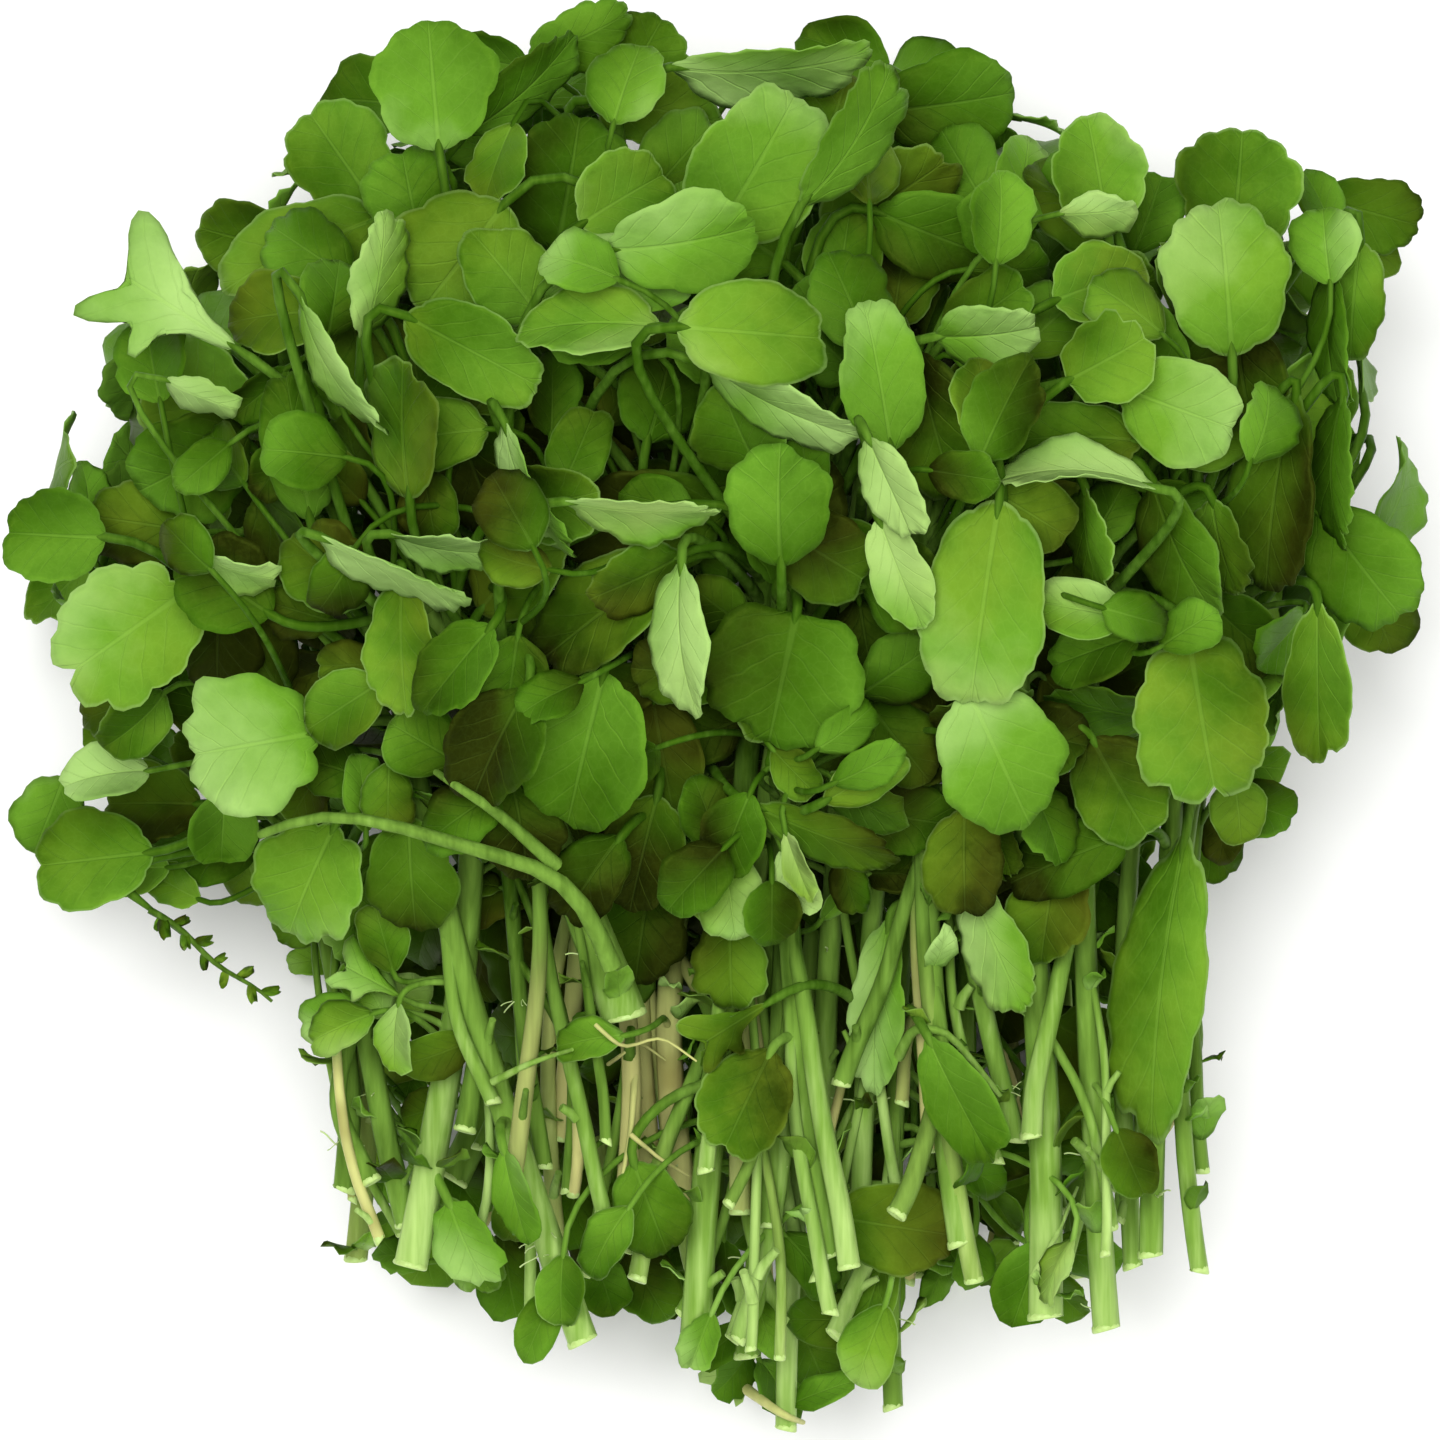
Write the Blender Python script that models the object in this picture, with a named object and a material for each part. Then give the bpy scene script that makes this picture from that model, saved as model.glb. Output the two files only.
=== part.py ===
"""A bunch of watercress, lying on a table with its cut ends towards -Y and its leaves towards +Y.

Each cut stem carries its own leaves and is one solid. A leaf is a thin blade with a scalloped edge on a
three-sided stalk, whose root is sunk into the stem. The stems are stacked from the table up, and every leaf
is moved until it is clear of the stems and leaves that were placed before it.
Lengths in the tables and in the layout are millimetres; the meshes are in metres.
"""

import math
from random import Random

import bmesh
import bpy
import numpy as np
from mathutils.bvhtree import BVHTree

MM = 0.001

# Driving sizes of the bunch
HEAD_CENTRE = (0.0, 33.0, 42.0)
HEAD_RADII = (84.0, 52.0, 38.0)
CROWN_RISE = 34.0
CROWN_REACH = (97.0, 64.0)
STEM_TOP = 46.0
LOWER_LAYERS = 3
STEMS_IN_LAYER = 6
LAYER_STEP = 9.5

# A leaf's thickness, its stalk and the gap that it keeps
BLADE_HALF = 0.4
STALK_RADIUS = (0.5, 0.8)
LONG_STALK = 20.0
LEAVING = 0.8
MOST_TURN = 0.7
FRAME_STEPS = 10
JOIN_POINTS = 5
STALK_END = 0.96
GAP = 0.4
TINY = 1e-6
TABLE_GAP = 0.25
STEM_TABLE_GAP = 0.05

# What a stem's curve is cut into
STEM_POINTS = 7
STEM_BEVEL = 1

# The lower stems: where their feet, waists and crowns lie, how far each row of them spreads to either side,
# the height of the first layer, the rise from layer to layer at the crown, and their radius
LOWER_FEET = (6.0, -66.0)
LOWER_WAISTS = (8.0, -38.0)
LOWER_CROWNS = (4.0, -4.0)
LOWER_SPREADS = (50.0, 44.0, 62.0)
LOWER_DEPTH = 70.0
LOWER_HEIGHTS = (1.5, 2.0, 12.0)
CROWN_STEP = 14.0
LOWER_GIRTHS = (1.5, 2.3)
LOWER_TAPER = 0.65
LIFT_STEP = 0.5

# Places on a stem where stalks spring: their first and last share of its length, how many there are, the gap
# between two that are used, and the shortest stalk
SPOT_SHARES = (0.30, 0.985)
SPOTS_ON_STEM = 26
SPOT_GAP = 2.4
SHORTEST_STALK = 5.0

# What counts against a place, in millimetres of stalk: a stalk that would meet its blade from ahead, one that
# would grow down the stem, and each leaf that the stem carries already
FROM_AHEAD = 26.0
DOWN_STEM = 16.0
CROWDED = 1.6

# For each group of leaves: how many places are tried for a stalk, and how far it may reach
RESTING_ROUTES = (60, 60)
SEEN_ROUTES = (26, 62)
SHELL_ROUTES = (14, 48)

# How a seen leaf is moved until it is clear: tries, steps up and down, and degrees of turn
SEEN_TRIES = 36
SEEN_RISE = 0.9
SEEN_DROP = 0.6
SEEN_TURN = 0.6

# The shells of leaves round the head: how many, their size beside the head, the lengths of their leaves, and
# how freely each leaf is set
OUTER_SHELL = (100, 1.0, (12.5, 18.0))
INNER_SHELL = (34, 0.68, (9.5, 13.5))
SHELL_TRIES = 16
SHELL_DEPTH = (-9.0, 3.0)
SHELL_SHIFT = 4.0
SHELL_LEAN = 0.55
SHELL_WIDTHS = (0.72, 1.0)
SHELL_LOWEST = 3.0

# How far a blade is cupped, arched and rippled, as shares of its size
CUPS = (-0.06, 0.24)
ARCHES = (0.02, 0.22)
RIPPLES = (0.02, 0.07)
TWIG_CURL = 0.3
SEED = 11

# How each kind of blade is cut: scallops round the edge, their depth, a narrower base, a notch at the base
# and the points that the outline has for each scallop
KINDS = {
    "round": {"scallops": 7, "depth": 0.030, "taper": 0.16, "notch": 0.03, "points": 2},
    "plain": {"scallops": 6, "depth": 0.030, "taper": 0.14, "notch": 0.00, "points": 2},
    "small": {"scallops": 5, "depth": 0.030, "taper": 0.20, "notch": 0.00, "points": 2},
    "heart": {"scallops": 8, "depth": 0.030, "taper": 0.00, "notch": 0.15, "points": 2},
    "fan": {"scallops": 9, "depth": 0.065, "taper": 0.18, "notch": 0.06, "points": 2},
    "cut": {"scallops": 4, "depth": 0.230, "taper": 0.30, "notch": 0.00, "points": 4},
    "long": {"scallops": 8, "depth": 0.045, "taper": 0.25, "notch": 0.00, "points": 2},
    "twig": {"scallops": 7, "depth": 0.300, "taper": 0.30, "notch": 0.00, "points": 2},
}

# The upper stems, as the top view shows them: cut end x, y; waist x, y and height; crown x, y and height;
# radius at the cut end and at the crown
UPPER_STEMS = [
    (-48.1, -70.2, -46.7, -54.0, 33.0, -56.0, -10.0, 34.0, 1.5, 1.2),
    (-49.4, -60.7, -48.9, -46.0, 41.0, -64.0, 2.0, 40.0, 1.5, 1.1),
    (-41.2, -65.3, -45.6, -46.0, 43.0, -54.0, 0.0, 47.0, 1.6, 1.2),
    (-40.7, -70.5, -35.2, -40.8, 42.0, -32.0, 8.0, 52.0, 2.2, 1.4),
    (-21.3, -54.3, -19.8, -38.0, 40.0, -18.0, 22.0, 56.0, 1.3, 1.2),
    (-9.9, -57.7, -10.8, -40.0, 41.0, -7.0, 26.0, 58.0, 1.6, 1.3),
    (-5.3, -64.2, -7.0, -42.0, 40.0, 1.0, 8.0, 52.0, 1.9, 1.3),
    (3.1, -82.7, 5.6, -50.0, 38.0, 4.0, 12.0, 42.0, 1.7, 1.3),
    (8.1, -92.3, 9.5, -56.0, 33.0, 16.0, 4.0, 38.0, 1.4, 1.2),
    (22.1, -89.4, 22.0, -55.0, 36.0, 28.0, 6.0, 42.0, 1.3, 1.1),
    (13.0, -53.3, 13.5, -36.0, 41.0, 18.0, 32.0, 57.0, 1.6, 1.2),
    (17.8, -62.9, 18.5, -38.0, 42.0, 25.0, 12.0, 54.0, 1.4, 1.2),
    (38.0, -54.3, 34.0, -38.0, 44.0, 22.0, 4.0, 52.0, 1.3, 1.1),
    (53.3, -70.9, 52.0, -42.0, 39.0, 56.0, 14.0, 48.0, 1.3, 1.1),
    (55.5, -69.3, 56.5, -42.0, 43.0, 61.0, 32.0, 54.0, 1.6, 1.2),
    (61.9, -71.4, 59.0, -44.0, 41.0, 68.0, 20.0, 47.0, 1.2, 1.0),
    (62.4, -58.6, 61.0, -40.0, 37.0, 63.0, 0.0, 40.0, 1.0, 0.9),
    (2.1, -63.7, 2.5, -42.0, 45.0, 10.0, 14.0, 58.0, 1.4, 1.2),
    (6.1, -65.3, 7.0, -42.0, 47.0, 15.0, 42.0, 60.0, 1.5, 1.2),
    (30.6, -67.6, 27.5, -42.0, 46.0, 26.0, 36.0, 62.0, 1.6, 1.2),
    (49.7, -78.8, 47.5, -46.0, 44.0, 48.0, 26.0, 60.0, 1.8, 1.2),
    (41.7, -77.2, 41.0, -42.0, 47.0, 36.0, 20.0, 63.0, 2.3, 1.4),
    (-3.9, -81.6, -1.0, -46.0, 46.0, 7.0, 32.0, 62.0, 2.0, 1.3),
    (-23.3, -57.7, -27.0, -30.0, 46.0, -30.0, 18.0, 60.0, 1.1, 1.0),
    (13.5, -69.2, 9.5, -42.0, 51.0, 8.0, 24.0, 66.0, 1.7, 1.3),
    (-18.3, -80.2, -31.0, -42.0, 50.0, -44.0, 14.0, 58.0, 2.0, 1.3),
    (-13.0, -38.0, -19.0, -22.0, 57.0, -38.0, 14.0, 62.0, 3.0, 1.3),
]

# The leaves that the top view shows, in groups that lie over one another: kind, centre x, y, length, width,
# the way that the tip points in degrees from +X, how far it is pitched up, and how far it is rolled to its right
SHADED_LEAVES = [
    ("small", 15.6, 86.8, 12, 9, 160, 0, 10),
    ("round", -11.0, 85.5, 13, 13, 60, 10, 0),
    ("round", -49.4, 72.8, 15, 14, 125, -10, 5),
    ("round", -54.5, 61.0, 23, 13, 203, -12, 20),
    ("round", -40.3, 67.6, 13, 12, 100, 5, 0),
    ("round", -9.1, 79.0, 16, 11, 350, 8, -10),
    ("round", -20.0, 68.9, 18, 18, 80, 10, 5),
    ("round", 28.9, 79.8, 19, 13, 8, -5, 12),
    ("round", 20.8, 67.0, 20, 13, 32, 5, 25),
    ("round", 27.3, 62.4, 17, 12, 340, -8, 10),
    ("small", 54.9, 65.7, 11, 9, 70, 0, 15),
    ("round", 84.5, 66.5, 14, 10, 345, -5, 12),
    ("small", 77.5, 67.6, 9, 7, 115, 0, 30),
    ("round", 48.8, 54.6, 15, 12, 20, -5, 0),
    ("round", 67.3, 42.3, 18, 13, 280, -10, 15),
    ("long", 71.0, 28.9, 26, 13, 265, -12, 28),
    ("round", -46.8, 46.5, 18, 14, 280, 0, 5),
    ("round", -57.2, 52.3, 13, 11, 190, -5, 10),
    ("round", -68.3, 33.5, 16, 15, 210, -10, -15),
    ("round", -74.1, 25.4, 16, 12, 170, 0, 5),
    ("round", -65.3, 11.4, 16, 12, 268, -12, 10),
    ("round", -77.0, 2.5, 14, 10, 200, -12, 0),
    ("long", -54.9, 18.9, 24, 12, 298, -15, 30),
    ("round", -32.2, 32.8, 18, 14, 290, -10, 15),
    ("round", -10.4, 25.4, 22, 15, 188, -5, -10),
    ("round", 8.8, 25.4, 17, 14, 80, 5, 15),
    ("round", 12.4, 21.5, 14, 12, 330, -10, 10),
    ("round", -26.7, 8.5, 14, 9, 265, -10, 15),
    ("round", -7.8, -4.6, 17, 11, 280, -10, 0),
    ("round", 58.0, 46.0, 15, 12, 10, 0, 10),
    ("round", -74.6, -10.7, 13, 11, 180, -5, 10),
    ("round", -67.6, -16.3, 15, 11, 200, -8, 0),
    ("round", 23.4, -12.4, 13, 10, 350, -5, 10),
    ("round", 44.5, -17.6, 17, 10, 205, -8, 10),
    ("small", 65.4, -14.3, 9, 6, 260, -5, 10),
    ("round", 48.8, -29.3, 15, 10, 275, -8, 10),
    ("round", -26.0, -31.5, 18, 11, 300, -5, 10),
    ("long", 14.0, -33.2, 20, 9, 270, -4, 10),
    ("small", 5.9, -22.8, 8, 6, 250, 0, 0),
    ("round", 1.3, -48.1, 12, 11, 200, 0, 5),
    ("small", 8.4, -51.0, 10, 9, 340, 0, 10),
    ("round", 20.8, -65.7, 15, 11, 350, -4, 10),
    ("small", 14.3, -78.0, 12, 8, 180, 0, 0),
    ("small", -15.6, -66.0, 12, 9, 250, 0, 10),
    ("small", -28.0, -72.8, 12, 9, 280, -4, 10),
    ("small", -10.4, -73.0, 12, 9, 300, 0, 0),
    ("small", -38.0, -40.3, 8, 6, 300, 0, 0),
]
GREEN_LEAVES = [
    ("round", -18.9, 88.0, 14, 9, 25, 5, 15),
    ("long", -25.7, 81.3, 18, 11, 42, 5, 50),
    ("round", -33.4, 59.5, 18, 18, 232, -4, -5),
    ("round", 35.1, 64.4, 11, 11, 85, 10, 10),
    ("round", 66.3, 68.3, 17, 16, 85, 0, 5),
    ("long", 78.0, 49.4, 18, 10, 275, -8, 60),
    ("long", 78.3, 32.2, 19, 11, 270, -8, 60),
    ("round", 82.2, 20.2, 18, 14, 308, -12, 10),
    ("long", 76.7, 4.6, 21, 9, 272, -15, 10),
    ("round", 27.0, 37.7, 20, 12, 285, -12, 15),
    ("small", 33.4, 40.3, 11, 8, 300, -10, 15),
    ("round", 44.9, 36.4, 18, 10, 180, 0, 20),
    ("long", 58.5, 21.5, 19, 11, 295, -12, 30),
    ("round", 64.0, 22.4, 13, 10, 285, -10, 50),
    ("round", 46.8, 22.8, 15, 10, 280, -12, 60),
    ("small", 47.5, 9.1, 12, 9, 200, -10, 10),
    ("round", 51.0, -8.5, 15, 13, 300, -12, 10),
    ("small", 70.0, -11.2, 9, 8, 340, -5, 0),
    ("long", 56.6, -34.5, 38, 13, 268, -4, 15),
    ("round", -54.6, 35.0, 19, 10, 100, 5, 10),
    ("round", -86.0, 24.0, 13, 13, 175, 0, -5),
    ("small", -37.7, 27.6, 10, 8, 280, -5, 5),
    ("round", -15.0, 14.3, 21, 14, 217, -8, 25),
    ("heart", 7.8, 6.8, 20, 20, 258, -12, 0),
    ("small", -38.7, -2.6, 10, 10, 150, 0, 0),
    ("round", -82.0, -17.9, 16, 13, 187, -4, 5),
    ("round", -40.3, -19.8, 15, 12, 275, -10, 5),
    ("small", -46.5, -9.1, 10, 6, 95, 5, 20),
    ("twig", -66.8, -30.5, 20, 3, 322, -5, 0),
    ("small", 0.3, -30.6, 9, 7, 260, -5, 10),
    ("small", 9.1, -3.3, 9, 6, 40, 5, 10),
    ("small", -2.0, -12.0, 10, 8, 110, 5, 10),
]
BRIGHT_LEAVES = [
    ("round", -37.3, 81.6, 17, 16, 95, 5, 0),
    ("round", 3.9, 70.5, 21, 18, 60, 5, 10),
    ("long", 16.6, 74.1, 20, 12, 58, 5, 45),
    ("round", -12.7, 56.5, 20, 12, 184, -4, 20),
    ("round", -5.2, 61.0, 20, 13, 10, 0, 20),
    ("round", -16.9, 50.7, 18, 11, 180, -4, 35),
    ("round", 3.3, 49.4, 19, 14, 350, -5, 5),
    ("round", -32.5, 47.5, 19, 12, 332, -5, 5),
    ("round", 48.1, 70.2, 14, 13, 100, 5, 5),
    ("round", 64.5, 56.6, 20, 17, 95, 0, 5),
    ("round", 81.3, 54.6, 15, 9, 265, -8, 15),
    ("round", 19.9, 43.6, 19, 12, 100, 5, 15),
    ("round", 33.4, 49.4, 13, 12, 5, 5, 45),
    ("fan", 48.8, 46.2, 12, 12, 30, 0, 10),
    ("round", 58.2, 40.0, 16, 14, 340, -5, 5),
    ("fan", -76.3, 11.7, 20, 18, 215, -10, -5),
    ("long", -41.2, 9.1, 18, 10, 272, -12, 20),
    ("round", -17.8, -3.6, 21, 17, 255, -12, 5),
    ("fan", -60.5, -2.9, 18, 18, 190, -5, 0),
    ("fan", -53.3, -20.2, 16, 15, 250, -12, 5),
    ("fan", -47.5, -25.8, 11, 10, 262, -12, 0),
    ("round", 35.1, -4.2, 19, 17, 295, -14, 0),
    ("fan", 61.4, 0.7, 22, 18, 280, -14, 5),
    ("round", 33.2, 15.2, 27, 17, 262, -12, 5),
    ("small", 45.9, 14.3, 12, 8, 170, 0, 10),
    ("small", -1.3, -22.1, 9, 7, 300, -5, 5),
    ("small", -46.0, -34.5, 9, 7, 120, 5, 5),
    ("small", -50.7, -38.4, 9, 7, 190, 0, 5),
    ("small", -42.3, -36.4, 9, 7, 40, 5, 5),
    ("long", -33.8, -68.0, 14, 8, 300, -4, 10),
    ("small", 18.9, -81.0, 11, 8, 250, -4, 10),
    ("small", 18.2, -7.2, 12, 7, 30, 0, 20),
]
PALE_LEAVES = [
    ("long", 5.9, 83.6, 24, 13, 4, 0, 52),
    ("long", -44.2, 56.8, 16, 10, 80, 10, 45),
    ("long", -50.0, 44.5, 20, 11, 304, -8, 68),
    ("cut", -72.0, 54.0, 22, 20, 148, 0, 0),
    ("small", -66.7, 41.6, 10, 8, 340, 0, 55),
    ("small", -61.8, 19.2, 10, 9, 345, 0, 65),
    ("long", -42.0, 19.2, 20, 12, 340, -5, 70),
    ("long", -35.5, 22.0, 14, 10, 352, -5, 64),
    ("long", -25.0, 29.0, 18, 11, 298, -8, 66),
    ("long", -10.4, 26.8, 19, 12, 355, 0, 66),
    ("long", -5.5, 10.4, 19, 10, 275, -10, 40),
    ("small", -80.2, -6.9, 11, 9, 190, 0, 28),
    ("small", 48.1, 65.3, 10, 8, 5, 0, 45),
    ("long", 44.9, 32.0, 20, 12, 178, 0, 64),
    ("long", 7.2, 40.0, 21, 12, 335, -5, 58),
    ("round", 21.2, 29.9, 14, 9, 298, -5, 40),
    ("round", 22.4, 19.1, 15, 8, 292, -8, 15),
    ("long", 19.8, -37.0, 22, 8, 265, -4, 20),
    ("small", 9.1, -20.8, 9, 6, 290, -5, 20),
]
GROUPS = [
    (SHADED_LEAVES, -13.0),
    (GREEN_LEAVES, -6.0),
    (BRIGHT_LEAVES, -1.0),
    (PALE_LEAVES, 1.0),
]

# Leaves pressed flat on the table, which the bunch rests on: centre x, y, length, width, way of the tip
RESTING_LEAVES = [
    (-46.0, 40.0, 18, 16, 160),
    (44.0, 46.0, 18, 16, 30),
    (-30.0, -4.0, 17, 15, 220),
    (34.0, -2.0, 17, 15, 310),
    (2.0, 66.0, 17, 15, 85),
]


def unit(vector):
    return vector / max(np.linalg.norm(vector), 1e-9)


class Stem:
    """A cut stem: a curve from its cut end through its waist to its crown, and the leaves on it."""

    def __init__(self, foot, waist, crown, girths):
        self.foot, waist, self.crown = np.array(foot), np.array(waist), np.array(crown)
        below, above = np.linalg.norm(waist - self.foot), np.linalg.norm(self.crown - waist)
        share = below / (below + above)
        rest = 1 - share
        self.bend = (waist - rest**2 * self.foot - share**2 * self.crown) / (2 * rest * share)
        self.girths = girths
        self.leaves = []

    def at(self, share):
        """Point, direction and radius at a share of the way from the cut end to the crown."""
        rest = 1 - share
        point = rest * rest * self.foot + 2 * rest * share * self.bend + share * share * self.crown
        along = rest * (self.bend - self.foot) + share * (self.crown - self.bend)
        return point, unit(along), self.girths[0] * rest + self.girths[1] * share

    def on_tube(self, share):
        """The same on the straight lengths that the tube is cut into."""
        lengths = STEM_POINTS - 1
        low = min(int(share * lengths), lengths - 1)
        start, end = self.at(low / lengths)[0], self.at((low + 1) / lengths)[0]
        part = share * lengths - low
        return start + (end - start) * part, unit(end - start), self.at(share)[2]

    def line(self, count):
        return np.array([self.on_tube(i / (count - 1))[0] for i in range(count)])

    def lift(self, rise):
        for point in (self.foot, self.bend, self.crown):
            point[2] += rise


class Leaf:
    """One blade on a stalk. The blade lies in the plane of side and along, and its upper face looks up."""

    def __init__(self, kind, centre, along, up, length, width, curl):
        self.kind = KINDS[kind]
        self.centre = np.array(centre, float)
        self.along = unit(np.array(along, float))
        self.side = unit(np.cross(self.along, up))
        self.up = np.cross(self.side, self.along)
        self.length = length
        self.width = width
        self.cup, self.arch, self.ripple, self.phase = curl
        self.flat = not any(curl[:3])
        self.stalk = None
        self.stalk_radius = STALK_RADIUS[0] if length < 12 else STALK_RADIUS[1]

    def on_blade(self, angle, reach, lift=0.0, grow=0.0):
        """The point of the blade at an angle round it, 0 at the base and pi at the tip, and at a share of the
        way from its middle to its edge."""
        kind = self.kind
        turn = min(angle, 2 * math.pi - angle)
        scallop = 1 + kind["depth"] * math.cos(kind["scallops"] * angle) * reach**2
        nearness = ((1 + math.cos(angle)) / 2) ** 2
        across = reach * (self.width / 2) * math.sin(angle) * scallop * (1 - kind["taper"] * nearness)
        forward = -reach * (self.length / 2) * math.cos(angle) * scallop
        forward += kind["notch"] * self.length * math.exp(-((turn / 0.5) ** 2)) * reach
        swell = 1 + grow / (self.width / 2)
        across *= swell
        forward *= swell
        height = self.cup * (2 * across / self.width) ** 2 * self.width / 2
        height -= self.arch * (2 * forward / self.length) ** 2 * self.length / 2
        height += self.ripple * math.sin(3 * angle + self.phase) * reach**3 * self.width / 2
        return self.centre + self.side * across + self.along * forward + self.up * (height + lift)

    def base(self):
        return self.on_blade(0.0, 1.0)

    def set_stalk(self, root, leaving):
        """The stalk's curve, from its root in the stem to the blade's base."""
        base = self.base()
        pull = np.linalg.norm(base - root) / 3
        arrive = base - self.along * pull
        if self.flat:
            arrive[2] += pull / 2
        self.stalk = np.array([root, root + leaving * pull, arrive, base])
        steps = np.linspace(0, 1, FRAME_STEPS + 1)[:, None]
        a, b, c = self.stalk[1:] - self.stalk[:-1]
        ways = (1 - steps) ** 2 * a + 2 * (1 - steps) * steps * b + steps**2 * c
        ways /= np.linalg.norm(ways, axis=1)[:, None]
        self.sides = [self.side]
        for way in ways[::-1]:
            side = self.sides[0] - way * np.dot(self.sides[0], way)
            self.sides.insert(0, unit(side))

    def stalk_at(self, share):
        """Point and direction of the stalk at a share of the way from its root to the blade."""
        a, b, c, d = self.stalk
        rest = 1 - share
        point = rest**3 * a + 3 * rest**2 * share * b + 3 * rest * share**2 * c + share**3 * d
        along = rest**2 * (b - a) + 2 * rest * share * (c - b) + share**2 * (d - c)
        return point, unit(along)

    def outline(self, grow=0.0):
        """The edge, from the right of the base round the tip to the left of the base."""
        count = self.kind["scallops"] * self.kind["points"]
        base = self.on_blade(0.0, 1.0, grow=grow)
        half = self.side * (self.stalk_radius + grow)
        around = [self.on_blade(2 * math.pi * i / count, 1.0, grow=grow) for i in range(1, count)]
        return [base + half, *around, base - half]

    def ribs(self, grow=0.0):
        """Two points over and two points under the midrib, and one under the base."""
        over = 0.0 if self.flat else BLADE_HALF + grow
        under = 2 * BLADE_HALF + grow if self.flat else BLADE_HALF + grow
        spots = ((0.0, 0.42), (math.pi, 0.42))
        points = [self.on_blade(angle, reach, over) for angle, reach in spots]
        points += [self.on_blade(angle, reach, -under) for angle, reach in spots]
        return [*points, self.base() - self.up * 1.5 * (self.stalk_radius + grow)]

    def ring_shares(self):
        """Where along the stalk it has a ring of corners. A long stalk has one more."""
        long_stalk = np.linalg.norm(self.stalk[3] - self.stalk[0]) > LONG_STALK
        return (0.0, 0.4, 0.7) if long_stalk else (0.0, 0.6)

    def rings(self, shares, grow=0.0):
        """Three-cornered rings round the stalk at the given shares of its length, root first."""
        found = []
        radius = self.stalk_radius + grow
        for share in shares:
            point, along = self.stalk_at(share)
            side = self.sides[round(share * FRAME_STEPS)]
            side = unit(side - along * np.dot(side, along))
            up = np.cross(side, along)
            found.append([point + side * radius, point - side * radius, point - up * 1.5 * radius])
        return found

    def lowest(self):
        points = self.outline() + self.ribs()
        if self.stalk is not None:
            points += [corner for ring in self.rings(self.ring_shares()) for corner in ring]
        return min(point[2] for point in points)


def blade_faces(count):
    """Triangles of a blade whose outline has this many points, followed by the five rib points."""
    over_base, over_tip, under_base, under_tip, heel = range(count, count + 5)
    first = -(-(count - 1) // 4)
    last = count - 1 - first
    faces = []
    for i in range(count - 1):
        near_base = i < first or i >= last
        faces.append((i, i + 1, over_base if near_base else over_tip))
        faces.append((i + 1, i, under_base if near_base else under_tip))
    faces += [(first, over_tip, over_base), (last, over_base, over_tip)]
    faces += [(under_tip, first, under_base), (under_base, last, under_tip)]
    faces += [(count - 1, 0, over_base), (0, heel, under_base), (heel, count - 1, under_base)]
    return faces


def tube_faces(rings, first, last_ring):
    """Triangles between three-cornered rings that start at a vertex number, up to a last ring of its own."""
    numbers = [[first + 3 * k + i for i in range(3)] for k in range(rings)] + [last_ring]
    faces = []
    for (right, left, low), (right_2, left_2, low_2) in zip(numbers, numbers[1:]):
        faces += [(left, right, right_2), (left, right_2, left_2)]
        faces += [(right, low, low_2), (right, low_2, right_2)]
        faces += [(low, left, left_2), (low, left_2, low_2)]
    right, left, low = numbers[0]
    faces.append((right, left, low))
    return faces


def blade_mesh(leaf, grow=0.0):
    """A closed blade with no stalk."""
    edge = leaf.outline(grow)
    count = len(edge)
    faces = blade_faces(count) + [(0, count - 1, count + 4)]
    return np.round(edge + leaf.ribs(grow), 3), faces


def stalk_mesh(leaf, grow=0.0):
    """A closed stalk with no blade, which ends just short of the blade."""
    rings = leaf.rings((*leaf.ring_shares(), STALK_END), grow)
    points = [corner for ring in rings for corner in ring]
    last = [len(points) - 3, len(points) - 2, len(points) - 1]
    faces = tube_faces(len(rings) - 1, 0, last)
    faces.append((last[1], last[0], last[2]))
    return np.round(points, 3), faces


def leaf_mesh(leaf):
    """Blade and stalk in one closed surface."""
    edge = leaf.outline()
    count = len(edge)
    rings = leaf.rings(leaf.ring_shares())
    points = edge + leaf.ribs() + [corner for ring in rings for corner in ring]
    faces = blade_faces(count) + tube_faces(len(rings), count + 5, [0, count - 1, count + 4])
    return np.round(points, 3), faces


class Thicket:
    """Everything placed so far, to find what a new piece would touch."""

    def __init__(self):
        self.lows = np.empty((0, 3))
        self.highs = np.empty((0, 3))
        self.trees = []
        self.owners = []

    def add(self, mesh, owner):
        points, faces = mesh
        self.lows = np.vstack([self.lows, points.min(0)])
        self.highs = np.vstack([self.highs, points.max(0)])
        self.trees.append(BVHTree.FromPolygons(points.tolist(), faces, all_triangles=True))
        self.owners.append(owner)

    def touches(self, mesh, leave_out=-1):
        points, faces = mesh
        low, high = points.min(0), points.max(0)
        near = np.flatnonzero(((self.lows <= high) & (self.highs >= low)).all(1))
        if not len(near):
            return False
        tree = BVHTree.FromPolygons(points.tolist(), faces, all_triangles=True)
        return any(self.owners[i] != leave_out and tree.overlap(self.trees[i]) for i in near)


def stem_mesh(stem):
    """A plain six-sided tube round a stem, for finding what touches it."""
    sides = 6
    points = []
    for i in range(STEM_POINTS):
        point, along, radius = stem.at(i / (STEM_POINTS - 1))
        side = unit(np.cross(along, (0.0, 0.0, 1.0)))
        up = np.cross(side, along)
        for k in range(sides):
            turn = 2 * math.pi * k / sides
            points.append(point + (side * math.cos(turn) + up * math.sin(turn)) * radius)
    faces = []
    for i in range(STEM_POINTS - 1):
        for k in range(sides):
            a, b = i * sides + k, i * sides + (k + 1) % sides
            faces += [(a, b, b + sides), (a, b + sides, a + sides)]
    return np.round(points, 3), faces


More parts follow.
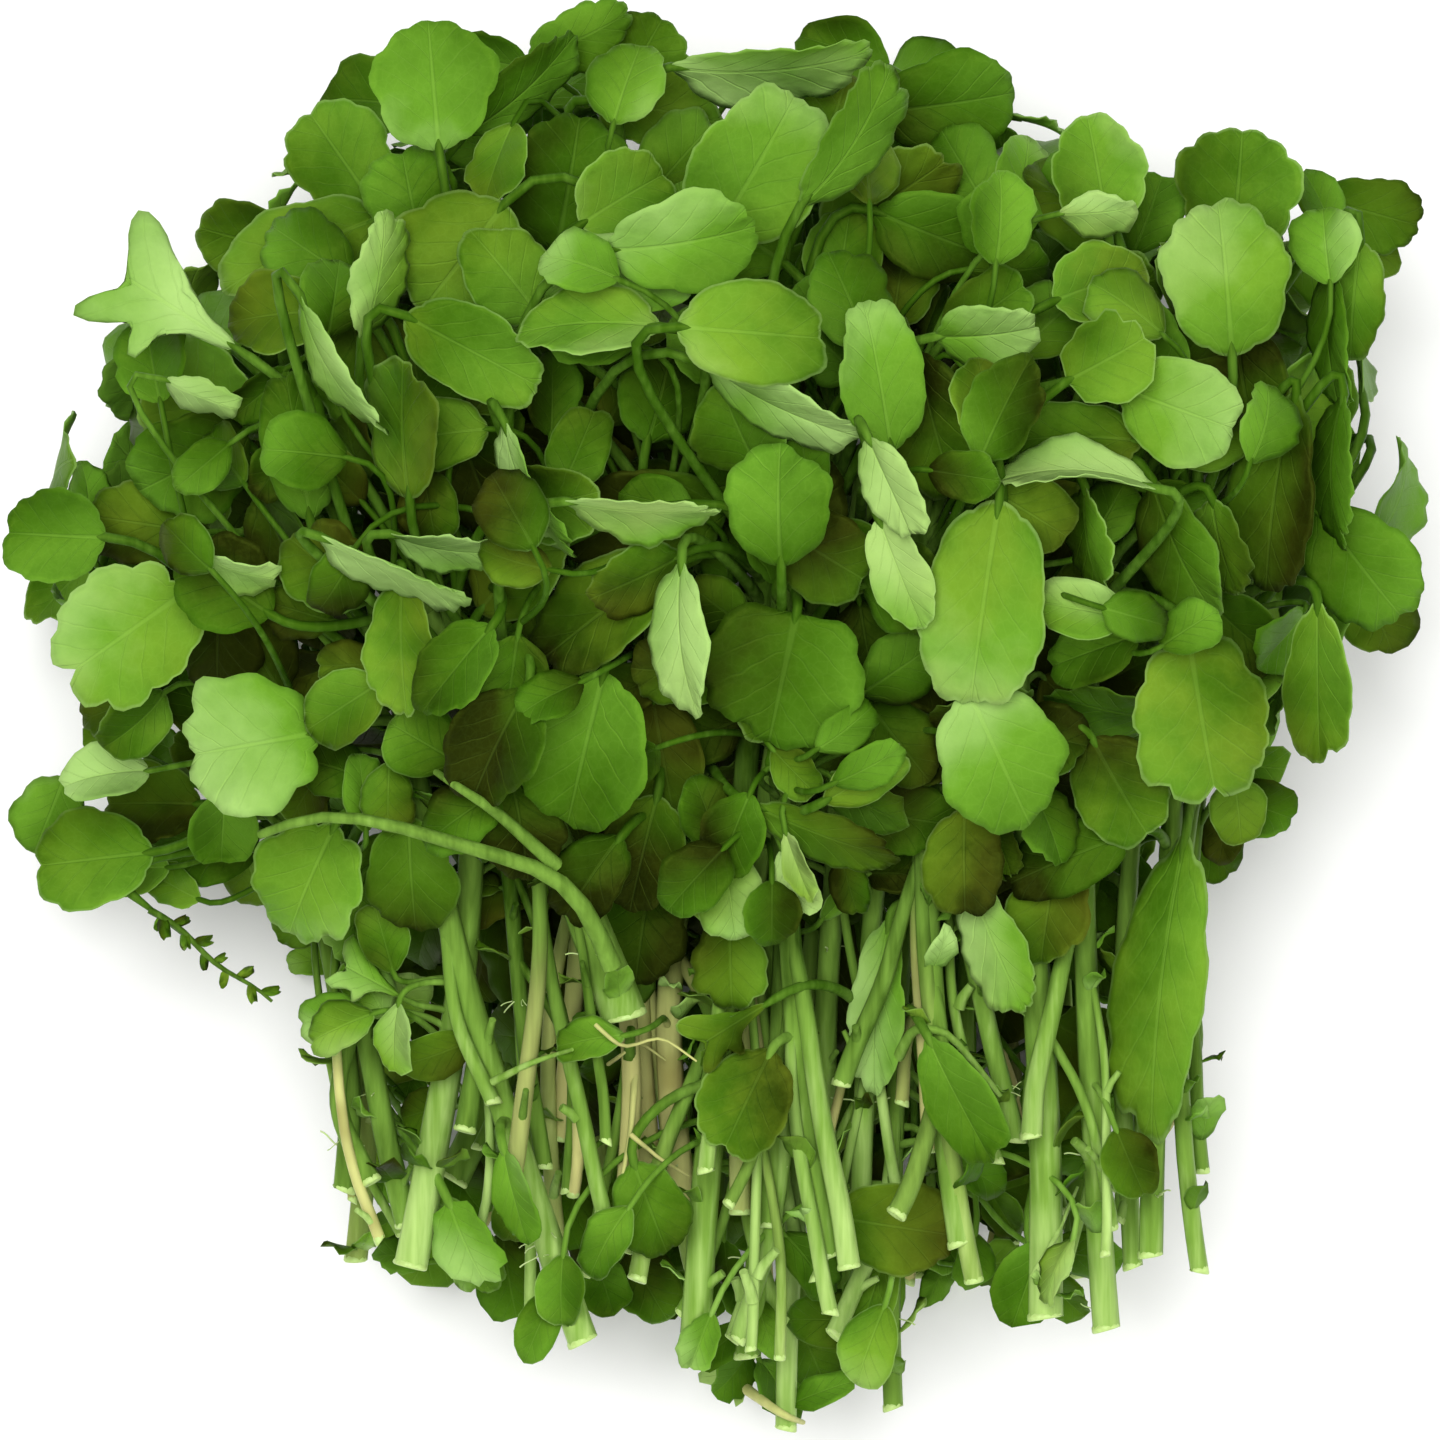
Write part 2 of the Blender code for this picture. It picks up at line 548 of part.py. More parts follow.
def lower_stems(random):
    """The stems under those that the top view shows, in layers from the table up."""
    rows = (LOWER_FEET, LOWER_WAISTS, LOWER_CROWNS)
    steps = (LAYER_STEP, LAYER_STEP, CROWN_STEP)
    found = []
    for layer in range(LOWER_LAYERS):
        for i in range(STEMS_IN_LAYER):
            place = (2 * i + 1) / STEMS_IN_LAYER - 1
            share = (0.31 + 0.618 * (i + STEMS_IN_LAYER * layer)) % 1.0
            spread = math.sqrt(1 - 0.6 * place**2)
            across = [row[0] + side * place for row, side in zip(rows, LOWER_SPREADS)]
            rise = [first + step * layer for first, step in zip(LOWER_HEIGHTS, steps)]
            foot = (across[0], LOWER_FEET[1] + random.uniform(-8, 6), rise[0])
            waist = (across[1] + random.uniform(-2, 2), LOWER_WAISTS[1], rise[1])
            crown = (across[2], LOWER_CROWNS[1] + LOWER_DEPTH * share * spread, rise[2])
            thick = random.uniform(*LOWER_GIRTHS)
            found.append(Stem(foot, waist, crown, (thick, LOWER_TAPER * thick)))
    return found


def place_stems(random):
    """Every stem, each raised until it is clear of those placed before it."""
    stems = lower_stems(random)
    for row in UPPER_STEMS:
        foot = (row[0], row[1], row[4] - 2)
        stems.append(Stem(foot, row[2:5], row[5:8], row[8:10]))
    samples = 60
    placed = []
    for stem in stems:
        radii = np.array([stem.at(i / (samples - 1))[2] for i in range(samples)])
        while True:
            line = stem.line(samples)
            low = (line[:, 2] - radii).min()
            if low < STEM_TABLE_GAP:
                stem.lift(STEM_TABLE_GAP - low + 0.01)
                continue
            gaps = [
                (np.linalg.norm(line[:, None] - other[None], axis=2) - radii[:, None] - thick[None]).min()
                for other, thick in placed
            ]
            if not gaps or min(gaps) > GAP:
                break
            stem.lift(LIFT_STEP)
        placed.append((line, radii))
    return stems


def crosses_itself(leaf):
    """Whether the stalk runs into its own blade before it reaches the base."""
    points, faces = blade_mesh(leaf)
    blade = BVHTree.FromPolygons(points.tolist(), faces, all_triangles=True)
    corners = np.array(leaf.rings((0.0, 0.35, 0.7, 0.9))).reshape(-1, 3)
    tube = tube_faces(3, 0, [9, 10, 11])
    return bool(blade.overlap(BVHTree.FromPolygons(corners.tolist(), tube, all_triangles=True)))


class Spots:
    """The places on the stems where a leaf's stalk can spring from."""

    def __init__(self, stems):
        rows = [
            (number, share, *stem.on_tube(share))
            for number, stem in enumerate(stems)
            for share in np.linspace(*SPOT_SHARES, SPOTS_ON_STEM)
        ]
        self.stem = np.array([row[0] for row in rows])
        self.point = np.array([row[2] for row in rows])
        self.along = np.array([row[3] for row in rows])
        self.radius = np.array([row[4] for row in rows])
        self.free = np.ones(len(rows), bool)
        self.carried = np.zeros(len(stems))

    def nearest(self, leaf, count, reach):
        """Spots that suit a leaf, best first."""
        base = leaf.base()
        way = base - self.point
        distance = np.linalg.norm(way, axis=1)
        way = way / distance[:, None]
        cost = distance + FROM_AHEAD * np.maximum(0, 0.2 - way @ leaf.along)
        cost = cost + DOWN_STEM * np.maximum(0, 0.1 - (way * self.along).sum(1))
        cost = cost + CROWDED * self.carried[self.stem]
        cost[(distance < SHORTEST_STALK) | (distance > reach) | ~self.free] = 1e6
        order = np.argsort(np.round(cost, 3), kind="stable")[:count]
        return [i for i in order if cost[i] < 1e5]

    def take(self, spot):
        own = self.stem == self.stem[spot]
        near = np.linalg.norm(self.point - self.point[spot], axis=1) < SPOT_GAP
        self.free[own & near] = False
        self.carried[self.stem[spot]] += 1


def try_leaf(leaf, stems, spots, thicket, routes):
    """Joins a leaf to a stem if its blade and a stalk for it are clear of everything. True if it could."""
    floor = -TINY if leaf.flat else TABLE_GAP
    if leaf.lowest() < floor or thicket.touches(blade_mesh(leaf, GAP)):
        return False
    for spot in spots.nearest(leaf, *routes):
        root, along = spots.point[spot], spots.along[spot]
        way = unit(leaf.base() - root)
        turn = min(max(LEAVING - np.dot(way, along), 0.0), MOST_TURN)
        leaf.set_stalk(root, unit(way + turn * along))
        owner = int(spots.stem[spot])
        if leaf.lowest() < floor or crosses_itself(leaf):
            continue
        if not thicket.touches(stalk_mesh(leaf, GAP), owner):
            spots.take(spot)
            stems[owner].leaves.append(leaf)
            thicket.add(blade_mesh(leaf), None)
            thicket.add(stalk_mesh(leaf), owner)
            return True
    leaf.stalk = None
    return False


def aimed(heading, pitch, roll):
    """The way of the tip and of the upper face, from angles in degrees."""
    turn, tip, tilt = (math.radians(angle) for angle in (heading, pitch, roll))
    along = np.array([math.cos(tip) * math.cos(turn), math.cos(tip) * math.sin(turn), math.sin(tip)])
    side = np.array([math.sin(turn), -math.cos(turn), 0.0])
    up = np.cross(side, along)
    return along, up * math.cos(tilt) + side * math.sin(tilt)


def crown_height(x, y):
    """Height of the bunch's upper side over a point of the table."""
    from_middle = (x / CROWN_REACH[0]) ** 2 + ((y - HEAD_CENTRE[1]) / CROWN_REACH[1]) ** 2
    return STEM_TOP + CROWN_RISE * math.sqrt(max(0.0, 1 - from_middle))


def drawn_curl(random, bend=1.0):
    return (
        bend * random.uniform(*CUPS),
        bend * random.uniform(*ARCHES),
        bend * random.uniform(*RIPPLES),
        random.uniform(0, 6.28),
    )


def place_seen_leaves(stems, spots, thicket, random):
    """The leaves of the top view, from the lowest group to the highest."""
    for group, sink in GROUPS:
        for kind, x, y, length, width, heading, pitch, roll in group:
            curl = drawn_curl(random, TWIG_CURL if kind == "twig" else 1.0)
            height = crown_height(x, y) + sink
            for attempt in range(SEEN_TRIES):
                rise = SEEN_RISE * attempt if attempt % 3 else -SEEN_DROP * attempt
                sway = SEEN_TURN * attempt * random.uniform(-1, 1)
                along, up = aimed(heading + sway, pitch + sway / 2, roll - sway / 2)
                leaf = Leaf(kind, (x, y, height + rise), along, up, length, width, curl)
                if try_leaf(leaf, stems, spots, thicket, SEEN_ROUTES):
                    break


def place_resting_leaves(stems, spots, thicket):
    for x, y, length, width, heading in RESTING_LEAVES:
        turn = math.radians(heading)
        along = (math.cos(turn), math.sin(turn), 0.0)
        leaf = Leaf("round", (x, y, 0.0), along, (0.0, 0.0, -1.0), length, width, (0, 0, 0, 0))
        try_leaf(leaf, stems, spots, thicket, RESTING_ROUTES)


def place_shell(stems, spots, thicket, random, count, scale, sizes):
    """Leaves spread evenly over a shell round the head, facing out of it and pointing away from the stems."""
    golden = math.pi * (3 - math.sqrt(5))
    centre, radii = np.array(HEAD_CENTRE), np.array(HEAD_RADII) * scale
    for i in range(count):
        level = 1 - 2 * (i + 0.5) / count
        ring = math.sqrt(1 - level**2)
        out = np.array([ring * math.cos(golden * i), level, ring * math.sin(golden * i)])
        spot = centre + out * radii
        normal = unit(out / radii)
        crown = min((stem.crown for stem in stems), key=lambda point: np.linalg.norm(point - spot))
        for _ in range(SHELL_TRIES):
            place = spot + normal * random.uniform(*SHELL_DEPTH)
            place = place + np.array([random.uniform(-SHELL_SHIFT, SHELL_SHIFT) for _ in range(3)])
            lean = np.array([random.uniform(-SHELL_LEAN, SHELL_LEAN) for _ in range(3)])
            up = unit(normal + lean)
            away = unit(place - crown) + 0.5 * np.array([random.uniform(-1, 1) for _ in range(3)])
            along = unit(away - up * np.dot(away, up))
            length = random.uniform(*sizes)
            width = length * random.uniform(*SHELL_WIDTHS)
            place[2] = max(place[2], SHELL_LOWEST)
            leaf = Leaf("plain", place, along, up, length, width, drawn_curl(random))
            if try_leaf(leaf, stems, spots, thicket, SHELL_ROUTES):
                break


def grow_bunch():
    """The whole layout: stems with their leaves."""
    random = Random(SEED)
    stems = place_stems(random)
    spots = Spots(stems)
    thicket = Thicket()
    for number, stem in enumerate(stems):
        thicket.add(stem_mesh(stem), number)
    place_resting_leaves(stems, spots, thicket)
    place_seen_leaves(stems, spots, thicket, random)
    for shell in (OUTER_SHELL, INNER_SHELL):
        place_shell(stems, spots, thicket, random, *shell)
    return stems


def material(name, colour, roughness):
    made = bpy.data.materials.new(name)
    made.use_nodes = True
    shader = made.node_tree.nodes["Principled BSDF"]
    shader.inputs["Base Color"].default_value = (*colour, 1.0)
    shader.inputs["Roughness"].default_value = roughness
    return made


def mesh_object(name, mesh, collection):
    points, faces = mesh
    data = bpy.data.meshes.new(name)
    data.from_pydata((np.asarray(points) * MM).tolist(), [], [tuple(int(i) for i in face) for face in faces])
    made = bpy.data.objects.new(name, data)
    collection.objects.link(made)
    return made


def stem_object(name, stem, collection):
    """The stem as a tube with both ends closed."""
    curve = bpy.data.curves.new(name, "CURVE")
    curve.dimensions = "3D"
    curve.twist_mode = "MINIMUM"
    curve.bevel_depth = MM
    curve.bevel_resolution = STEM_BEVEL
    curve.use_fill_caps = True
    line = curve.splines.new("POLY")
    line.points.add(STEM_POINTS - 1)
    for i, point in enumerate(line.points):
        place, _, radius = stem.at(i / (STEM_POINTS - 1))
        point.co = (*(place * MM), 1.0)
        point.radius = radius
    guide = bpy.data.objects.new(name + "_line", curve)
    collection.objects.link(guide)
    data = evaluated_mesh(guide)
    bpy.data.objects.remove(guide)
    bm = bmesh.new()
    bm.from_mesh(data)
    bmesh.ops.remove_doubles(bm, verts=bm.verts, dist=1e-6)
    bmesh.ops.recalc_face_normals(bm, faces=bm.faces)
    bm.to_mesh(data)
    bm.free()
    made = bpy.data.objects.new(name, data)
    collection.objects.link(made)
    return made


def islands(bm):
    """The vertices of each separate surface."""
    left = set(bm.verts)
    found = []
    while left:
        edge = [left.pop()]
        island = []
        while edge:
            vertex = edge.pop()
            island.append(vertex)
            near = {other.other_vert(vertex) for other in vertex.link_edges} & left
            left -= near
            edge += near
        found.append(island)
    return sorted(found, key=len)


def fill_hollows(data):
    """Removes the small inner surfaces that stalks which cross in a stem can close off."""
    bm = bmesh.new()
    bm.from_mesh(data)
    inner = islands(bm)[:-1]
    bmesh.ops.delete(bm, geom=[vertex for island in inner for vertex in island], context="VERTS")
    bmesh.ops.triangulate(bm, faces=bm.faces)
    bm.to_mesh(data)
    bm.free()


def evaluated_mesh(made):
    bpy.context.view_layer.update()
    return bpy.data.meshes.new_from_object(made.evaluated_get(bpy.context.evaluated_depsgraph_get()))


def places(data):
    return {tuple(round(c / MM, 2) for c in vertex.co) for vertex in data.vertices}


def thin_joins(made, drawn, leaves):
    """Collapses the crowded points where stalks join the stem, which are those that weren't drawn."""
    joins = [v.index for v in made.data.vertices if tuple(round(c / MM, 2) for c in v.co) not in drawn]
    group = made.vertex_groups.new(name="joins")
    group.add(joins, 1.0, "REPLACE")
    faces = len(made.data.polygons)
    excess = 2 * (len(joins) - JOIN_POINTS * leaves)
    thin = made.modifiers.new("thin", "DECIMATE")
    thin.vertex_group = "joins"
    thin.ratio = 1 - max(0, excess) / faces
    thinned = evaluated_mesh(made)
    made.modifiers.clear()
    made.vertex_groups.clear()
    made.data = thinned


def leafy_stem(name, stem, collection, helpers, paint):
    """One stem joined with its leaves into one solid."""
    made = stem_object(name, stem, collection)
    made.data.materials.append(paint)
    if stem.leaves:
        pile = bpy.data.collections.new(name + "_leaves")
        helpers.children.link(pile)
        drawn = places(made.data)
        for leaf in stem.leaves:
            blade = mesh_object(name + "_leaf", leaf_mesh(leaf), pile)
            blade.display_type = "WIRE"
            drawn |= places(blade.data)
        union = made.modifiers.new("leaves", "BOOLEAN")
        union.operation = "UNION"
        union.operand_type = "COLLECTION"
        union.collection = pile
        union.solver = "MANIFOLD"
        joined = evaluated_mesh(made)
        made.modifiers.clear()
        fill_hollows(joined)
        made.data = joined
        thin_joins(made, drawn, len(stem.leaves))
        made.data.name = name
        for leaf in list(pile.objects):
            bpy.data.objects.remove(leaf)
        bpy.data.collections.remove(pile)
    return made


def centre_bunch(made):
    """Moves every solid alike so that the bunch's box is centred on the origin and stands on z = 0."""
    corners = np.array([vertex.co for solid in made for vertex in solid.data.vertices])
    low, high = corners.min(0), corners.max(0)
    shift = np.array([-(low[0] + high[0]) / 2, -(low[1] + high[1]) / 2, -low[2]])
    for solid in made:
        for vertex in solid.data.vertices:
            vertex.co = np.array(vertex.co) + shift


def build():
    for old in list(bpy.data.objects):
        bpy.data.objects.remove(old)
    bunch = bpy.data.collections.new("watercress_bunch")
    helpers = bpy.data.collections.new("helpers")
    helpers.hide_render = True
    for collection in (bunch, helpers):
        bpy.context.scene.collection.children.link(collection)
    stems = grow_bunch()
    made = []
    for number, stem in enumerate(stems, 1):
        name = f"leafy_stem_{number:02d}"
        shade = 0.16 + 0.05 * (number % 5)
        paint = material(name + "_green", (0.45 * shade, shade, 0.14 * shade), 0.55)
        made.append(leafy_stem(name, stem, bunch, helpers, paint))
    centre_bunch(made)


if __name__ == "__main__":
    build()
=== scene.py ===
"""A bunch of cut watercress, dressed for its picture.

Each leafy stem of the frame is replaced by a finer one with the same stem, stalks and leaves, grown by the
same rules. Smaller leaves, side shoots, side roots and cut faces are added. Lengths in the tables and in the
layout are millimetres; the meshes are in metres.
"""

import math
from random import Random

import bpy
import numpy as np
from bpy.props import FloatProperty, FloatVectorProperty, IntProperty, PointerProperty
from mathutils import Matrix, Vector
from mathutils.bvhtree import BVHTree


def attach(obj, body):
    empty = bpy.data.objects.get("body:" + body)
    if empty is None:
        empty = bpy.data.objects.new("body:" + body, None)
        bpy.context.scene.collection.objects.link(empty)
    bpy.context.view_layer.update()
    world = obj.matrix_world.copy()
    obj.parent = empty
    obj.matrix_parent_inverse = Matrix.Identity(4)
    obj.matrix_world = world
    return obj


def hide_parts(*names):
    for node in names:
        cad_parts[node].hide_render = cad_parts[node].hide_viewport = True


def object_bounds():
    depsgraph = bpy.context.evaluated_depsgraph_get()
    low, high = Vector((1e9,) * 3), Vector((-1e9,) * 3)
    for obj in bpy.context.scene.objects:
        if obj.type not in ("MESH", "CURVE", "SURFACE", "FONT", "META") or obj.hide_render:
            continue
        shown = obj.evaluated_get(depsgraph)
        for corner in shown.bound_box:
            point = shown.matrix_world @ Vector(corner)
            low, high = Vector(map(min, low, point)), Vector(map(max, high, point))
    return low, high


bl_info = {
    "name": "Watercress bunch",
    "version": (1, 0, 0),
    "blender": (4, 5, 0),
    "location": "View3D > Sidebar > Watercress",
    "description": "A bunch of cut watercress lying on its side",
    "category": "Add Mesh",
}

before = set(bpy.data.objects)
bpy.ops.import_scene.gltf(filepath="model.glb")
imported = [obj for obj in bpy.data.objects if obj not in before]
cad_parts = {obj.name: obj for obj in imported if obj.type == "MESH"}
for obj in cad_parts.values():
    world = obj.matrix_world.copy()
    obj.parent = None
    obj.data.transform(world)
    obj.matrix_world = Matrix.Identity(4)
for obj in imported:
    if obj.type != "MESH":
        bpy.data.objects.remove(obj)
CAD_LOW, CAD_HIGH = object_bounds()

MM = 0.001
ONE_TURN = 6.28

# Driving sizes of the bunch
HEAD_CENTRE = (0.0, 33.0, 42.0)
HEAD_RADII = (84.0, 52.0, 38.0)
CROWN_RISE = 34.0
CROWN_REACH = (97.0, 64.0)
STEM_TOP = 46.0
LOWER_LAYERS = 3
STEMS_IN_LAYER = 6
LAYER_STEP = 9.5

# A leaf's thickness, its stalk and the gap that it keeps
BLADE_HALF = 0.4
STALK_RADIUS = (0.5, 0.8)
LONG_STALK = 20.0
LEAVING = 0.8
MOST_TURN = 0.7
FRAME_STEPS = 10
STALK_END = 0.96
GAP = 0.4
TINY = 1e-6
TABLE_GAP = 0.25
STEM_TABLE_GAP = 0.05

# How many points a stem's curve is cut into, and the sides of its plain tube
STEM_POINTS = 7
TUBE_SIDES = 6

# The lower stems: where their feet, waists and crowns lie, how far each row of them spreads to either side,
# the height of the first layer, the rise from layer to layer at the crown, and their radius
LOWER_FEET = (6.0, -66.0)
LOWER_WAISTS = (8.0, -38.0)
LOWER_CROWNS = (4.0, -4.0)
LOWER_SPREADS = (50.0, 44.0, 62.0)
LOWER_DEPTH = 70.0
LOWER_HEIGHTS = (1.5, 2.0, 12.0)
CROWN_STEP = 14.0
LOWER_GIRTHS = (1.5, 2.3)
LOWER_TAPER = 0.65
LIFT_STEP = 0.5

# Places on a stem where stalks spring: their first and last share of its length, how many there are, the gap
# between two that are used, and the shortest stalk
SPOT_SHARES = (0.30, 0.985)
SPOTS_ON_STEM = 26
SPOT_GAP = 2.4
SHORTEST_STALK = 5.0

# What counts against a place, in millimetres of stalk: a stalk that would meet its blade from ahead, one that
# would grow down the stem, and each leaf that the stem carries already
FROM_AHEAD = 26.0
DOWN_STEM = 16.0
CROWDED = 1.6

# For each group of leaves: how many places are tried for a stalk, and how far it may reach
RESTING_ROUTES = (60, 60)
SEEN_ROUTES = (26, 62)
SHELL_ROUTES = (14, 48)

# How a seen leaf is moved until it is clear: tries, steps up and down, and degrees of turn
SEEN_TRIES = 36
SEEN_RISE = 0.9
SEEN_DROP = 0.6
SEEN_TURN = 0.6

# The shells of leaves round the head: how many, their size beside the head, the lengths of their leaves, and
# how freely each leaf is set
OUTER_SHELL = (100, 1.0, (12.5, 18.0))
INNER_SHELL = (34, 0.68, (9.5, 13.5))
SHELL_TRIES = 16
SHELL_DEPTH = (-9.0, 3.0)
SHELL_SHIFT = 4.0
SHELL_LEAN = 0.55
SHELL_WIDTHS = (0.72, 1.0)
SHELL_LOWEST = 3.0

# How far a blade is cupped, arched and rippled, as shares of its size
CUPS = (-0.06, 0.24)
ARCHES = (0.02, 0.22)
RIPPLES = (0.02, 0.07)
TWIG_CURL = 0.3
SEED = 11

# How each kind of blade is cut: scallops round the edge, their depth, a narrower base, a notch at the base
# and the points that the outline has for each scallop
KINDS = {
    "round": {"scallops": 7, "depth": 0.030, "taper": 0.16, "notch": 0.03, "points": 2},
    "plain": {"scallops": 6, "depth": 0.030, "taper": 0.14, "notch": 0.00, "points": 2},
    "small": {"scallops": 5, "depth": 0.030, "taper": 0.20, "notch": 0.00, "points": 2},
    "heart": {"scallops": 8, "depth": 0.030, "taper": 0.00, "notch": 0.15, "points": 2},
    "fan": {"scallops": 9, "depth": 0.065, "taper": 0.18, "notch": 0.06, "points": 2},
    "cut": {"scallops": 4, "depth": 0.230, "taper": 0.30, "notch": 0.00, "points": 4},
    "long": {"scallops": 8, "depth": 0.045, "taper": 0.25, "notch": 0.00, "points": 2},
    "twig": {"scallops": 7, "depth": 0.300, "taper": 0.30, "notch": 0.00, "points": 2},
}

# The upper stems, as the top view shows them: cut end x, y; waist x, y and height; crown x, y and height;
# radius at the cut end and at the crown
UPPER_STEMS = [
    (-48.1, -70.2, -46.7, -54.0, 33.0, -56.0, -10.0, 34.0, 1.5, 1.2),
    (-49.4, -60.7, -48.9, -46.0, 41.0, -64.0, 2.0, 40.0, 1.5, 1.1),
    (-41.2, -65.3, -45.6, -46.0, 43.0, -54.0, 0.0, 47.0, 1.6, 1.2),
    (-40.7, -70.5, -35.2, -40.8, 42.0, -32.0, 8.0, 52.0, 2.2, 1.4),
    (-21.3, -54.3, -19.8, -38.0, 40.0, -18.0, 22.0, 56.0, 1.3, 1.2),
    (-9.9, -57.7, -10.8, -40.0, 41.0, -7.0, 26.0, 58.0, 1.6, 1.3),
    (-5.3, -64.2, -7.0, -42.0, 40.0, 1.0, 8.0, 52.0, 1.9, 1.3),
    (3.1, -82.7, 5.6, -50.0, 38.0, 4.0, 12.0, 42.0, 1.7, 1.3),
    (8.1, -92.3, 9.5, -56.0, 33.0, 16.0, 4.0, 38.0, 1.4, 1.2),
    (22.1, -89.4, 22.0, -55.0, 36.0, 28.0, 6.0, 42.0, 1.3, 1.1),
    (13.0, -53.3, 13.5, -36.0, 41.0, 18.0, 32.0, 57.0, 1.6, 1.2),
    (17.8, -62.9, 18.5, -38.0, 42.0, 25.0, 12.0, 54.0, 1.4, 1.2),
    (38.0, -54.3, 34.0, -38.0, 44.0, 22.0, 4.0, 52.0, 1.3, 1.1),
    (53.3, -70.9, 52.0, -42.0, 39.0, 56.0, 14.0, 48.0, 1.3, 1.1),
    (55.5, -69.3, 56.5, -42.0, 43.0, 61.0, 32.0, 54.0, 1.6, 1.2),
    (61.9, -71.4, 59.0, -44.0, 41.0, 68.0, 20.0, 47.0, 1.2, 1.0),
    (62.4, -58.6, 61.0, -40.0, 37.0, 63.0, 0.0, 40.0, 1.0, 0.9),
    (2.1, -63.7, 2.5, -42.0, 45.0, 10.0, 14.0, 58.0, 1.4, 1.2),
    (6.1, -65.3, 7.0, -42.0, 47.0, 15.0, 42.0, 60.0, 1.5, 1.2),
    (30.6, -67.6, 27.5, -42.0, 46.0, 26.0, 36.0, 62.0, 1.6, 1.2),
    (49.7, -78.8, 47.5, -46.0, 44.0, 48.0, 26.0, 60.0, 1.8, 1.2),
    (41.7, -77.2, 41.0, -42.0, 47.0, 36.0, 20.0, 63.0, 2.3, 1.4),
    (-3.9, -81.6, -1.0, -46.0, 46.0, 7.0, 32.0, 62.0, 2.0, 1.3),
    (-23.3, -57.7, -27.0, -30.0, 46.0, -30.0, 18.0, 60.0, 1.1, 1.0),
    (13.5, -69.2, 9.5, -42.0, 51.0, 8.0, 24.0, 66.0, 1.7, 1.3),
    (-18.3, -80.2, -31.0, -42.0, 50.0, -44.0, 14.0, 58.0, 2.0, 1.3),
    (-13.0, -38.0, -19.0, -22.0, 57.0, -38.0, 14.0, 62.0, 3.0, 1.3),
]

# The leaves that the top view shows, in groups that lie over one another: kind, centre x, y, length, width,
# the way of the tip in degrees from +X, how far it is pitched up, and how far it is rolled to its right
SHADED_LEAVES = [
    ("small", 15.6, 86.8, 12, 9, 160, 0, 10),
    ("round", -11.0, 85.5, 13, 13, 60, 10, 0),
    ("round", -49.4, 72.8, 15, 14, 125, -10, 5),
    ("round", -54.5, 61.0, 23, 13, 203, -12, 20),
    ("round", -40.3, 67.6, 13, 12, 100, 5, 0),
    ("round", -9.1, 79.0, 16, 11, 350, 8, -10),
    ("round", -20.0, 68.9, 18, 18, 80, 10, 5),
    ("round", 28.9, 79.8, 19, 13, 8, -5, 12),
    ("round", 20.8, 67.0, 20, 13, 32, 5, 25),
    ("round", 27.3, 62.4, 17, 12, 340, -8, 10),
    ("small", 54.9, 65.7, 11, 9, 70, 0, 15),
    ("round", 84.5, 66.5, 14, 10, 345, -5, 12),
    ("small", 77.5, 67.6, 9, 7, 115, 0, 30),
    ("round", 48.8, 54.6, 15, 12, 20, -5, 0),
    ("round", 67.3, 42.3, 18, 13, 280, -10, 15),
    ("long", 71.0, 28.9, 26, 13, 265, -12, 28),
    ("round", -46.8, 46.5, 18, 14, 280, 0, 5),
    ("round", -57.2, 52.3, 13, 11, 190, -5, 10),
    ("round", -68.3, 33.5, 16, 15, 210, -10, -15),
    ("round", -74.1, 25.4, 16, 12, 170, 0, 5),
    ("round", -65.3, 11.4, 16, 12, 268, -12, 10),
    ("round", -77.0, 2.5, 14, 10, 200, -12, 0),
    ("long", -54.9, 18.9, 24, 12, 298, -15, 30),
    ("round", -32.2, 32.8, 18, 14, 290, -10, 15),
    ("round", -10.4, 25.4, 22, 15, 188, -5, -10),
    ("round", 8.8, 25.4, 17, 14, 80, 5, 15),
    ("round", 12.4, 21.5, 14, 12, 330, -10, 10),
    ("round", -26.7, 8.5, 14, 9, 265, -10, 15),
    ("round", -7.8, -4.6, 17, 11, 280, -10, 0),
    ("round", 58.0, 46.0, 15, 12, 10, 0, 10),
    ("round", -74.6, -10.7, 13, 11, 180, -5, 10),
    ("round", -67.6, -16.3, 15, 11, 200, -8, 0),
    ("round", 23.4, -12.4, 13, 10, 350, -5, 10),
    ("round", 44.5, -17.6, 17, 10, 205, -8, 10),
    ("small", 65.4, -14.3, 9, 6, 260, -5, 10),
    ("round", 48.8, -29.3, 15, 10, 275, -8, 10),
    ("round", -26.0, -31.5, 18, 11, 300, -5, 10),
    ("long", 14.0, -33.2, 20, 9, 270, -4, 10),
    ("small", 5.9, -22.8, 8, 6, 250, 0, 0),
    ("round", 1.3, -48.1, 12, 11, 200, 0, 5),
    ("small", 8.4, -51.0, 10, 9, 340, 0, 10),
    ("round", 20.8, -65.7, 15, 11, 350, -4, 10),
    ("small", 14.3, -78.0, 12, 8, 180, 0, 0),
    ("small", -15.6, -66.0, 12, 9, 250, 0, 10),
    ("small", -28.0, -72.8, 12, 9, 280, -4, 10),
    ("small", -10.4, -73.0, 12, 9, 300, 0, 0),
    ("small", -38.0, -40.3, 8, 6, 300, 0, 0),
]
